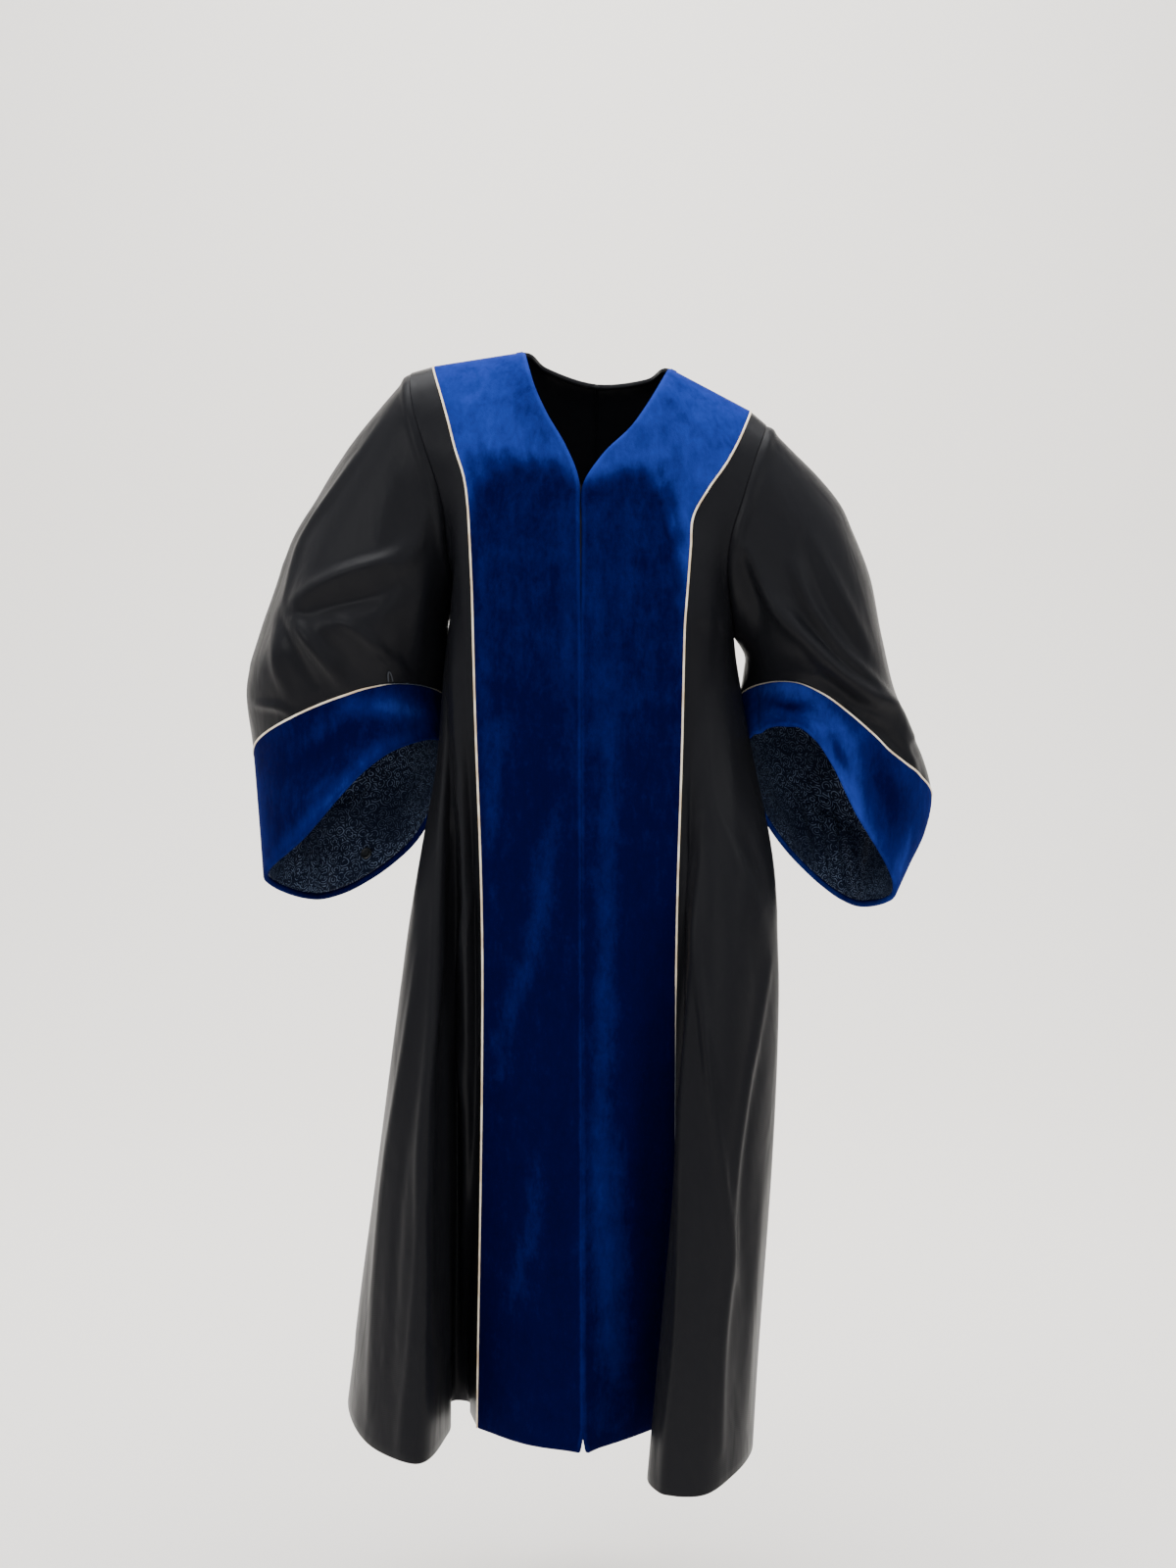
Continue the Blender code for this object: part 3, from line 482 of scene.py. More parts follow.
# Brush marks in the pile, with painted sheen and shade: light where the height is positive, dark where it
# is negative.
BAND_STROKES = {
    Side.RIGHT: [
        Crease(((-92, -8), (-66, -50), (-46, -92)), 18, -0.17),
        Crease(((-150, -20), (-120, -68), (-78, -100)), 12, 0.04),
        Crease(((-24, -150), (-20, -420)), 8, 0.08),
        Crease(((-118, -150), (-112, -420), (-106, -620)), 6, 0.07),
        Crease(((-97, -400), (-104, -522)), 7, 0.10),
        Crease(((-38, -480), (-48, -570), (-60, -650), (-86, -720), (-100, -790)), 13, 0.15),
        Crease(((-58, -880), (-61, -958), (-75, -1007), (-90, -1060)), 12, 0.13),
        Crease(((-50, -400), (-46, -520)), 16, -0.05),
        Crease(((-30, -800), (-34, -1150)), 16, -0.05),
    ],
    Side.LEFT: [
        Crease(((76, -48), (92, -52), (112, -68)), 7, -0.10),
        Crease(((88, -44), (93, -47)), 4, -0.14),
        Crease(((40, -104), (90, -96), (140, -84)), 12, 0.06),
        Crease(((6, -160), (10, -420)), 9, 0.07),
        Crease(((44, -160), (42, -300)), 12, 0.05),
        Crease(
            ((24, -340), (22, -522), (20, -638), (17, -785), (12, -958), (20, -1136), (10, -1195)),
            13, 0.17,
        ),
        Crease(((24, -860), (34, -1000), (42, -1110), (38, -1195)), 23, 0.16),
        # A painted shadow of the left front's fold, down the band's outer part.
        Crease(((72, -620), (62, -900), (58, -1190)), 15, -0.12),
    ],
}
# Painted highlights and shade on the cuffs: light where the height is positive, dark where it is
# negative, with a painted highlight along each mouth's lower edge.
CUFF_STROKES = {
    Side.RIGHT: {
        "front": [
            Crease(((-366, -568), (-322, -520), (-278, -474), (-232, -430), (-186, -412)), 9, 0.24),
            Crease(((-386, -460), (-380, -520), (-370, -580)), 12, 0.20),
            Crease(((-268, -382), (-232, -382), (-206, -388), (-180, -402)), 13, 0.34),
            Crease(((-330, -432), (-290, -404), (-262, -384)), 10, 0.12),
            Crease(((-310, -480), (-282, -458)), 5, 0.14),
            Crease(((-350, -460), (-300, -430), (-250, -400)), 17, -0.10),
        ],
        "back": [Crease(((-372, -600), (-300, -590), (-220, -540)), 12, 0.35)],
    },
    Side.LEFT: {
        "front": [
            Crease(((250, -396), (268, -430), (296, -490), (322, -556), (344, -610)), 12, 0.36),
            Crease(((200, -366), (232, -362), (262, -376)), 11, 0.22),
            Crease(((316, -436), (345, -490), (362, -540)), 22, -0.17),
            Crease(((262, -384), (282, -410), (304, -470)), 11, 0.26),
            Crease(((372, -528), (360, -570), (348, -606)), 9, 0.26),
            Crease(((324, -430), (340, -480), (350, -540)), 15, -0.10),
            Crease(((272, -420), (288, -452)), 6, -0.30),
            Crease(((206, -380), (226, -384), (246, -384)), 5, -0.25),
        ],
        "back": [Crease(((350, -612), (290, -590), (240, -540)), 12, 0.35)],
    },
}

# Where the piping hides: at the inner sides of the cuffs, and under the fold of the left front. There it
# narrows and is painted dark, as painted shade.
THIN_CORD = {
    Side.RIGHT: [Crease(((-232, -358), (-214, -360), (-172, -386), (-168, -390)), 20, 1.4)],
    Side.LEFT: [Crease(((180, -384), (200, -366), (238, -357), (262, -364)), 14, 0.9)],
}
COVERED_CORD = {
    Side.RIGHT: [],
    Side.LEFT: [Crease(((97, -706), (96, -800), (95, -960), (94, -1100), (94, -1230)), 14, 1.5)],
}


def unit(vectors: Grid) -> Grid:
    """Vectors of length one."""
    return vectors / np.maximum(np.linalg.norm(vectors, axis=-1, keepdims=True), SHORTEST_VECTOR)


def lengths_along(points: Grid, axis: int = 0) -> Grid:
    """How far each point lies from its line's first point, along lines on the given axis."""
    steps = np.linalg.norm(np.diff(points, axis=axis), axis=-1)
    return np.cumsum(np.insert(steps, 0, 0, axis=axis), axis=axis)


def smooth_lines(points: Grid, steps: int, closed: bool = False) -> Grid:
    """Smooth curves through points along the first axis.

    Args:
        points: the given points, with curves along the first axis.
        steps: how many steps lie between each two of them.
        closed: whether the last point leads back to the first.

    Returns:
        The finer points along the same axis.
    """
    after = np.roll(points, -1, axis=0) - points
    before = points - np.roll(points, 1, axis=0)
    far = np.maximum(np.linalg.norm(after, axis=-1, keepdims=True), SHORTEST_STEP)
    near = np.maximum(np.linalg.norm(before, axis=-1, keepdims=True), SHORTEST_STEP)
    slope = (before / near * far + after / far * near) / (near + far)
    if not closed:
        slope[0] = unit(after[0])
        slope[-1] = unit(before[-1])
    spans = len(points) if closed else len(points) - 1
    start = points[:spans]
    end = np.roll(points, -1, axis=0)[:spans]
    length = far[:spans]
    out_slope = slope[:spans] * length
    in_slope = np.roll(slope, -1, axis=0)[:spans] * length
    made = [hermite(start, end, out_slope, in_slope, step / steps) for step in range(steps)]
    fine = np.stack(made, axis=1).reshape((spans * steps, *points.shape[1:]))
    return fine if closed else np.concatenate([fine, points[-1:]])


def hermite(start: Grid, end: Grid, start_slope: Grid, end_slope: Grid, share: float) -> Grid:
    """A point on a cubic whose slopes are given over its whole stretch."""
    s2, s3 = share**2, share**3
    return (
        start * (2 * s3 - 3 * s2 + 1)
        + start_slope * (s3 - 2 * s2 + share)
        + end * (3 * s2 - 2 * s3)
        + end_slope * (s3 - s2)
    )


def x_on_seam(seam: Sequence[SeamPoint], z: float) -> float:
    """How far across a seam lies at a height, on a smooth curve through its points."""
    z = min(seam[0].z, max(seam[-1].z, z))
    last = len(seam) - 1
    i = next(i for i in range(last) if z >= seam[i + 1].z)

    def slope(k: int) -> float:
        """How far across the seam goes for each millimetre of height at one of its points."""
        low, high = max(k - 1, 0), min(k + 1, last)
        return (seam[high].x - seam[low].x) / (seam[high].z - seam[low].z)

    rise = seam[i + 1].z - seam[i].z
    share = (z - seam[i].z) / rise
    return hermite(seam[i].x, seam[i + 1].x, slope(i) * rise, slope(i + 1) * rise, share)


def chest_point(line: FoldLine) -> Grid:
    """The point of a fold line at the foot of the yoke, which tilts with the shoulders."""
    return np.array((line.chest_x, line.chest_y, CHEST_Z + CHEST_TILT * line.chest_x))


YOKE_SHARES = [(1 - math.cos(math.pi * row / YOKE_ROWS)) / 2 for row in range(YOKE_ROWS + 1)]


def rolled(top: Grid, chest: Grid) -> Grid:
    """A yoke column that rolls off the shoulder from its top and hangs down to the chest."""
    column = []
    for share in YOKE_SHARES:
        point = top + (chest - top) * share
        point[1] = top[1] + (chest[1] - top[1]) * math.sqrt(1 - (1 - share) ** 2)
        column.append(point)
    return np.array(column)


def seam_column(seam: Sequence[SeamPoint], chest: Grid) -> Grid:
    """A yoke column down a seam whose place across is known."""
    column = rolled(np.array((seam[0].x, 0.0, seam[0].z)), chest)
    for point in column[:-1]:
        point[0] = x_on_seam(seam, point[2])
    return column


def armhole_column(side: Side, chest: Grid, depth: float, bow: float | None = None) -> Grid:
    """A yoke column down an armhole, an oval from the shoulder to the underarm."""
    seam = ARMHOLE[side]
    outward = -1 if side is Side.RIGHT else 1
    column = []
    for share in YOKE_SHARES:
        z = seam[0].z + (chest[2] - seam[0].z) * share
        x = x_on_seam(seam, z)
        if bow is not None:
            x = seam[0].x + (chest[0] - seam[0].x) * share - outward * bow * 4 * share * (1 - share)
        y = chest[1] * share + depth * math.sqrt(max(0.0, 1 - (2 * share - 1) ** 2))
        column.append((x, y, z))
    column[-1] = tuple(chest)
    return np.array(column)


def columns_between(lines: Sequence[FoldLine], first: Grid, last: Grid) -> list[Grid]:
    """Yoke columns down each line from the first column to the last, easing to their chest points."""
    points = np.array([chest_point(line) for line in lines])
    lengths = lengths_along(points)
    made = []
    for point, share in zip(points, lengths / lengths[-1]):
        own = point - (first[-1] + (last[-1] - first[-1]) * share)
        ease = np.array(YOKE_SHARES)[:, None] ** EASE_POWER
        made.append(first + (last - first) * share + own * ease)
    return made


def skirt_column(line: FoldLine) -> Grid:
    """The rows down a fold line from the chest to the hem, without the chest's own."""
    chest = chest_point(line)
    hip = np.array((line.hip_x, line.hip_y, HIP_Z))
    hem = np.array((line.hem_x, line.hem_y, HEM_Z - line.hem_drop))
    overall = (hem - chest) / (hem[2] - chest[2])
    column = []
    for row in range(1, SKIRT_ROWS + 1):
        z = chest[2] + (hem[2] - chest[2]) * row / SKIRT_ROWS
        if z > HIP_Z:
            rise = HIP_Z - chest[2]
            point = hermite(chest, hip, np.zeros(3), overall * rise, (z - chest[2]) / rise)
        else:
            rise = hem[2] - HIP_Z
            point = hermite(hip, hem, overall * rise, hem - hip, (z - HIP_Z) / rise)
        point[2] = z
        column.append(point)
    return np.array(column)


def whole_columns(lines: Sequence[FoldLine], yokes: Sequence[Grid]) -> Grid:
    """Columns from the shoulders to the hem, each of a yoke column and a skirt column."""
    return np.array([np.concatenate([yoke, skirt_column(line)]) for line, yoke in zip(lines, yokes)])


@dataclass
class ClothGrid:
    """Middle points of a piece of cloth, in columns down it, with their outward directions.

    Attributes:
        points: the points, by column, row and axis.
        outward: -1 where columns and rows alone would make the normals point inwards.
        closed: whether the last column joins the first, as on a sleeve.
        nap_and_light: how far the pile stands up at each point, from 0 to 1, with painted sheen, top
            light, highlights and shade added.
    """

    points: Grid
    outward: int = 1
    closed: bool = False
    nap_and_light: Grid | None = None
    normals: Grid = field(init=False)

    def __post_init__(self) -> None:
        """Works out the normals, and a flat pile with no painted light where none is given."""
        self.refresh()
        if self.nap_and_light is None:
            self.nap_and_light = np.zeros(self.points.shape[:2])

    def refresh(self) -> None:
        """Works the normals out again from the points."""
        if self.closed:
            across = np.roll(self.points, -1, axis=0) - np.roll(self.points, 1, axis=0)
        else:
            across = np.gradient(self.points, axis=0)
        along = np.gradient(self.points, axis=1)
        self.normals = unit(np.cross(across, along)) * self.outward

    def remade(self, points: Grid, normals: Grid, nap_and_light: Grid) -> ClothGrid:
        """A piece of the same cloth with other points, normals, pile and painted light."""
        piece = ClothGrid(points, self.outward, self.closed, nap_and_light)
        piece.normals = unit(normals)
        return piece

    def raised(self, heights: Grid) -> None:
        """Moves each point out along its normal by its height."""
        self.points = self.points + self.normals * heights[..., None]
        self.refresh()

    def part(self, columns: slice, rows: slice = slice(None)) -> ClothGrid:
        """A piece of this grid with the same normals."""
        return self.remade(*(values[columns, rows] for values in (self.points, self.normals, self.nap_and_light)))

    def across_lengths(self) -> Grid:
        """How far each point lies from its row's first point, along the row."""
        return lengths_along(self.points)

    def down_lengths(self) -> Grid:
        """How far each point lies from its column's first point, down the column."""
        return lengths_along(self.points, 1)

    def away_from_sides(self, reach: float) -> Grid:
        """0 on the first and last columns, rising to 1 at a distance from them."""
        along = self.across_lengths()
        near = np.minimum(along, along[-1] - along)
        return np.clip(near / reach, 0, 1)

    def with_gaps(self, first: float, last: float, top: float, bottom: float) -> ClothGrid:
        """This grid with its edges drawn back along the cloth, to leave room at its seams."""
        layers = np.concatenate([self.points, self.normals, self.nap_and_light[..., None]], axis=-1)
        for axis, start, end in ((0, first, last), (1, top, bottom)):
            if start or end:
                layers = drawn_back(layers, axis, start, end)
        return self.remade(layers[..., :3], layers[..., 3:6], layers[..., 6])

    def turned_in(self, axis: int, at_end: bool, turn: EdgeTurn) -> ClothGrid:
        """This grid with one of its edges turned in, so that it reads as a seam or a rolled edge.

        Args:
            axis: 0 for the first or last column, 1 for the top or bottom row.
            at_end: whether it is the last column or the bottom row.
            turn: how the edge is turned.

        Returns:
            The larger grid.
        """
        layers = (self.points, self.normals, self.nap_and_light)
        lines, ways, nap_and_light = (np.moveaxis(values, axis, 0) for values in layers)
        if at_end:
            lines, ways, nap_and_light = lines[::-1], ways[::-1], nap_and_light[::-1]
        run = unit(lines[0] - lines[1])
        out = unit(ways[0] - run * (ways[0] * run).sum(axis=-1, keepdims=True))
        centre = lines[0] - out * turn.radius
        new_lines, new_ways = [], []
        for step in range(1, turn.steps + 1):
            angle = turn.angle * step / turn.steps
            way = out * math.cos(angle) + run * math.sin(angle)
            new_lines.append(centre + way * turn.radius)
            new_ways.append(way)
        onward = run * math.cos(turn.angle) - out * math.sin(turn.angle)
        for step in (0.5, 1.0):
            new_lines.append(new_lines[turn.steps - 1] + onward * turn.depth * step)
            new_ways.append(new_ways[turn.steps - 1])
        # The turned strip's pile takes the turn's painted sheen.
        new_nap_and_light = np.repeat(nap_and_light[:1] + turn.lift, len(new_lines), axis=0)
        lines = np.concatenate([new_lines[::-1], lines])
        ways = np.concatenate([new_ways[::-1], ways])
        nap_and_light = np.concatenate([new_nap_and_light, nap_and_light])
        if at_end:
            lines, ways, nap_and_light = lines[::-1], ways[::-1], nap_and_light[::-1]
        return self.remade(*(np.moveaxis(values, 0, axis) for values in (lines, ways, nap_and_light)))

    def edged(self, gaps: Sequence[float], turns: Sequence[EdgeTurn | None]) -> ClothGrid:
        """This grid with its edges drawn back and then turned in.

        Args:
            gaps: how far the first and last columns and the top and bottom rows are drawn back.
            turns: how the same four edges are turned in, if they are.

        Returns:
            The grid with its seams, hems and rolled edges.
        """
        piece = self.with_gaps(*gaps)
        for k, turn in enumerate(turns):
            if turn:
                piece = piece.turned_in(k // 2, k % 2 == 1, turn)
        return piece

    def moved_in(self, depth: Grid | float) -> ClothGrid:
        """A layer of cloth that lies inside this one."""
        depths = np.broadcast_to(depth, self.nap_and_light.shape)[..., None]
        return self.remade(self.points - self.normals * depths, self.normals, self.nap_and_light)

    def flat_size(self) -> tuple[float, float]:
        """The widest and the longest that the cloth measures along itself, in metres."""
        width = self.across_lengths()[-1].max()
        if self.closed:
            width += np.linalg.norm(self.points[0] - self.points[-1], axis=-1).max()
        return float(width) * MM, float(self.down_lengths()[:, -1].max()) * MM


class EdgeTurn(NamedTuple):
    """How an edge is turned in: round which radius, by which angle, and how deep after that; lift is the
    painted sheen that its turned strip adds to the pile.
    """

    radius: float
    angle: float
    depth: float
    steps: int
    lift: float


SEAM_TURN = EdgeTurn(0.9, math.pi / 2, 4.0, 3, 0.0)
VELVET_SEAM_TURN = EdgeTurn(1.4, math.pi / 2, 4.0, 3, 0.0)
CUFF_SEAM_TURN = EdgeTurn(0.7, math.pi / 2, 0.3, 2, 0.0)
ROLLED_EDGE = EdgeTurn(1.9, math.pi, 7.0, 7, 0.0)
HEM_TURN = EdgeTurn(1.1, math.pi, 10.0, 4, 0.0)
# The mouths' turned edges carry a little painted sheen.
MOUTH_EDGE = EdgeTurn(1.7, math.pi, 2.0, 6, 0.05)


def drawn_back(layers: Grid, axis: int, start: float, end: float) -> Grid:
    """Slides the points near two opposite edges along the cloth, away from those edges.

    Args:
        layers: the cloth's points, with what else goes with them after each point's place.
        axis: 0 for the first and last columns, 1 for the top and bottom rows.
        start: the gap at the first edge.
        end: the gap at the last edge.

    Returns:
        The new layers.
    """
    lines = np.moveaxis(layers, axis, 0)
    lengths = lengths_along(lines[..., :3])
    moved = lines.copy()
    for k in range(lines.shape[1]):
        along = lengths[:, k]
        whole = along[-1]
        reach = min(EASE_LENGTH, whole / 2)
        wanted = along.copy()
        near = along < reach
        wanted[near] = start + along[near] * (reach - start) / reach
        far = whole - along < reach
        wanted[far] = whole - end - (whole - along[far]) * (reach - end) / reach
        for c in range(lines.shape[2]):
            moved[:, k, c] = np.interp(wanted, along, lines[:, k, c])
    return np.moveaxis(moved, 0, axis)


def near_path(flat: Grid, path: Grid) -> tuple[Grid, Grid]:
    """How far points lie from a path seen from the front, and at which share of its length."""
    spans = np.linalg.norm(np.diff(path, axis=0), axis=1)
    starts = lengths_along(path)
    best = np.full(flat.shape[:-1], np.inf)
    place = np.zeros(flat.shape[:-1])
    for i, span in enumerate(spans):
        run = (path[i + 1] - path[i]) / span
        offset = flat - path[i]
        share = np.clip((offset @ run) / span, 0, 1)
        distance = np.linalg.norm(offset - share[..., None] * run * span, axis=-1)
        closer = distance < best
        best = np.where(closer, distance, best)
        place = np.where(closer, (starts[i] + share * span) / starts[-1], place)
    return best, place


def eased_across(points: Grid, row: int, reach: int) -> Grid:
    """Smooths the rows near a given one along the columns, so that no kink shows there."""
    rows = np.arange(points.shape[1])
    share = 0.5 * np.clip(1 - np.abs(rows - row) / reach, 0, 1)[None, :, None]
    for _ in range(EASE_TIMES):
        middle = (np.roll(points, 1, axis=1) + np.roll(points, -1, axis=1)) / 2
        points = points + (middle - points) * share
    return points


def crease_heights(points: Grid, creases: Sequence[Crease]) -> Grid:
    """How far a set of creases pushes each point out.

    Args:
        points: points of the cloth, whose X and Z are compared with the creases' paths.
        creases: the ridges and troughs.

    Returns:
        A height for each point, in millimetres.
    """
    flat = points[..., [0, 2]]
    total = np.zeros(flat.shape[:-1])
    for crease in creases:
        path = smooth_lines(np.array(crease.path, dtype=float), CREASE_STEPS)
        distance, place = near_path(flat, path)
        fade = np.sin(np.pi * (CREASE_START + (1 - 2 * CREASE_START) * place))
        total += crease.height * fade * np.exp(-((distance / crease.width) ** 2))
    return total


def smooth_step(values: Grid) -> Grid:
    """0 below 0, 1 above 1 and a smooth step in between."""
    values = np.clip(values, 0, 1)
    return values * values * (3 - 2 * values)


def band_nap_and_light(side: Side, points: Grid) -> Grid:
    """How far the pile of a front band stands up, with painted light: high over the shoulder, partly as
    painted top light, low below it, with a painted highlight along the centre edge and strokes of painted
    sheen and shade.
    """
    x, z = points[..., 0], points[..., 2]
    edge = np.array(BRIGHT_EDGE[side], dtype=float)
    slopes = np.diff(edge[:, 1]) / np.diff(edge[:, 0])
    slope = np.interp(x, (edge[1:, 0] + edge[:-1, 0]) / 2, slopes)
    above = (z - np.interp(x, edge[:, 0], edge[:, 1])) / np.sqrt(1 + slope**2)
    above = above + NAP_RIPPLE * sum(np.sin(x * over + z * down) for over, down in NAP_WAVES)
    high = smooth_step(above / (2 * NAP_SOFTNESS) + 0.5)
    from_edge = np.linalg.norm(points - points[:1], axis=-1)
    low = LOW_NAP_AND_LIGHT + CHEST_NAP_AND_LIGHT * smooth_step((z - HIP_Z) / (CHEST_Z - HIP_Z + NAP_EASE))
    # A painted highlight along the rolled centre edge, where the pile catches the light.
    rim = EDGE_HIGHLIGHT[side] * np.exp(-((from_edge / EDGE_HIGHLIGHT_REACH) ** 2))
    return low + (HIGH_NAP_AND_LIGHT - low) * high + rim + crease_heights(points, BAND_STROKES[side])


@dataclass(frozen=True)
class Finish:
    """What every finish has: a name and a way to make its material."""

    name: str

    def material(self) -> bpy.types.Material:
        """The material of this finish, made once."""
        found = bpy.data.materials.get(self.name)
        if found is None:
            found = bpy.data.materials.new(self.name)
            found.use_nodes = True
            self.build(Shader(found.node_tree, found.node_tree.nodes["Principled BSDF"]))
        return found

    def build(self, shader: Shader) -> None:
        """Connects the finish's nodes."""
        raise NotImplementedError


def joined(operation: str, swapped: bool = False) -> Callable[[Signal, Signal | float], Signal]:
    """An operator that joins a signal and another value with a Math node.

    Args:
        operation: the Math node's operation.
        swapped: whether the other value comes first.

    Returns:
        The operator, as a method of Signal.
    """

    def operator(signal: Signal, other: Signal | float) -> Signal:
        """The result of the operation."""
        return signal.maths(operation, *((other, signal) if swapped else (signal, other)))

    return operator


@dataclass
class Signal:
    """A shader value that can be written in an expression."""

    shader: Shader
    socket: bpy.types.NodeSocket

    __add__ = joined("ADD")
    __radd__ = joined("ADD", True)
    __sub__ = joined("SUBTRACT")
    __rsub__ = joined("SUBTRACT", True)
    __mul__ = joined("MULTIPLY")

    def maths(self, operation: str, *values: Signal | float) -> Signal:
        """A Math node's result."""
        return self.shader.node("ShaderNodeMath", {"operation": operation}, dict(enumerate(values)))

    def wave(self) -> Signal:
        """The sine of the value."""
        return self.maths("SINE", self)

    def between(self, low: float, high: float) -> Signal:
        """0 below low, 1 above high and a smooth step in between."""
        values = {"Value": self, "From Min": low, "From Max": high}
        return self.shader.node("ShaderNodeMapRange", {"interpolation_type": "SMOOTHSTEP"}, values)


def varied(base: Signal | float, *layers: tuple[Signal, Signal | float]) -> Signal:
    """A value that layers of noise make higher and lower, each by half of its amount at most."""
    for noise, amount in layers:
        base = base + (noise - 0.5) * amount
    return base


class Noise(NamedTuple):
    """A layer of noise: its scale and detail, how warped it is, and its stretch along the height."""

    scale: float
    detail: float
    warp: float = 0.0
    stretch: float = 1.0


class Relief(NamedTuple):
    """How strong and how deep a bump is, with the depth in metres."""

    strength: float
    depth: float


class Shader:
    """Makes the nodes of one material, or of the studio's surround."""

    def __init__(self, tree: bpy.types.NodeTree, surface: bpy.types.Node) -> None:
        """Starts from a node tree and the node that its values go to."""
        self.tree = tree
        self.surface = surface
        self.coordinates = tree.nodes.new("ShaderNodeTexCoord")

    def node(self, kind: str, settings: dict, values: dict, output: int | str = 0) -> Signal:
        """Makes one node.

        Args:
            kind: the node's type.
            settings: its properties, set first.
            values: numbers, colours or signals for its inputs, by name or place.
            output: the output that is wanted.

        Returns:
            That output as a signal.
        """
        made = self.tree.nodes.new(kind)
        for key, value in settings.items():
            setattr(made, key, value)
        self.feed(made, values)
        return Signal(self, made.outputs[output])

    def feed(self, node: bpy.types.Node, values: dict) -> None:
        """Links or sets a node's inputs, by name or place."""
        for key, value in values.items():
            if isinstance(value, Signal):
                self.tree.links.new(value.socket, node.inputs[key])
            else:
                node.inputs[key].default_value = value

    def object_place(self, stretch: float = 1.0, turn: float = 0.0) -> Signal:
        """The place on the object, in metres, stretched along its height and turned about Y."""
        place = Signal(self, self.coordinates.outputs["Object"])
        values = {"Vector": place, "Rotation": (0, turn, 0), "Scale": (1, 1, stretch)}
        return self.node("ShaderNodeMapping", {}, values)

    def cloth_place(self, turn: float = 0.0) -> Signal:
        """The place on the flat cloth, in metres, turned about its corner."""
        place = Signal(self, self.coordinates.outputs["UV"])
        return self.node("ShaderNodeMapping", {}, {"Vector": place, "Rotation": (0, 0, turn)})

    def painted(self, name: str) -> Signal:
        """A value that the piece's own points carry."""
        return self.node("ShaderNodeAttribute", {"attribute_name": name}, {}, "Fac")

    def noise(self, layer: Noise, place: Signal | None = None) -> Signal:
        """A noise value from 0 to 1, on the object where no other place is given."""
        if place is None:
            place = self.object_place(layer.stretch)
        values = {"Vector": place, "Scale": layer.scale, "Detail": layer.detail, "Distortion": layer.warp}
        return self.node("ShaderNodeTexNoise", {}, values)

    def component(self, place: Signal, axis: str) -> Signal:
        """One component of a place."""
        return self.node("ShaderNodeSeparateXYZ", {}, {"Vector": place}, axis)

    def ramp(self, value: Signal, stops: Sequence[tuple[float, tuple]]) -> Signal:
        """A colour for a value, between given stops."""
        made = self.tree.nodes.new("ShaderNodeValToRGB")
        elements = made.color_ramp.elements
        while len(elements) < len(stops):
            elements.new(0.5)
        for element, (place, colour) in zip(elements, stops):
            element.position = place
            element.color = (*colour, 1.0)
        self.tree.links.new(value.socket, made.inputs[0])
        return Signal(self, made.outputs[0])

    def mixed(self, share: Signal | float, first: Signal | tuple, second: Signal | tuple) -> Signal:
        """A colour between two, each a signal or a red, green and blue."""
        first, second = (each if isinstance(each, Signal) else (*each, 1.0) for each in (first, second))
        return self.node("ShaderNodeMix", {"data_type": "RGBA"}, {0: share, 6: first, 7: second}, 2)

    def bump(self, height: Signal, relief: Relief, **below: Signal) -> Signal:
        """A normal from a height, over the one below it where there is one."""
        values = {"Height": height, "Strength": relief.strength, "Distance": relief.depth, **below}
        return self.node("ShaderNodeBump", {}, values)

    def surface_values(self, **values: Signal | float | tuple) -> None:
        """Sets the last shader's sockets, named with underscores for spaces."""
        self.feed(self.surface, {key.replace("_", " "): value for key, value in values.items()})


@dataclass(frozen=True)
class SatinTwill(Finish):
    """Black worsted satin twill, with a soft sheen over its folds."""

    colour: tuple = (0.0052, 0.0055, 0.0072)
    worn_colour: tuple = (0.0078, 0.0080, 0.0094)
    roughness: float = 0.35
    refraction: float = 1.16
    twill_pitch: float = 0.0013
    twill_degrees: float = 35
    patches: Noise = Noise(7.0, 3.0)
    slubs: Noise = Noise(480.0, 1.0, stretch=0.06)
    ripples: Noise = Noise(26.0, 2.0, 0.4, 0.35)
    weave: Relief = Relief(0.16, 0.0003)
    drape: Relief = Relief(0.35, 0.006)

    def build(self, shader: Shader) -> None:
        """Connects the twill's nodes."""
        cloth = shader.cloth_place(math.radians(self.twill_degrees))
        lines = (shader.component(cloth, "X") * (2 * math.pi / self.twill_pitch)).wave()
        patches, slubs, ripples = map(shader.noise, (self.patches, self.slubs, self.ripples))
        weave = shader.bump(lines * 0.5 + slubs, self.weave)
        shader.surface_values(
            Base_Color=shader.mixed(patches, self.colour, self.worn_colour),
            Roughness=varied(self.roughness, (patches, 0.16), (slubs, 0.10)),
            Normal=shader.bump(ripples, self.drape, Normal=weave),
            IOR=self.refraction,
        )


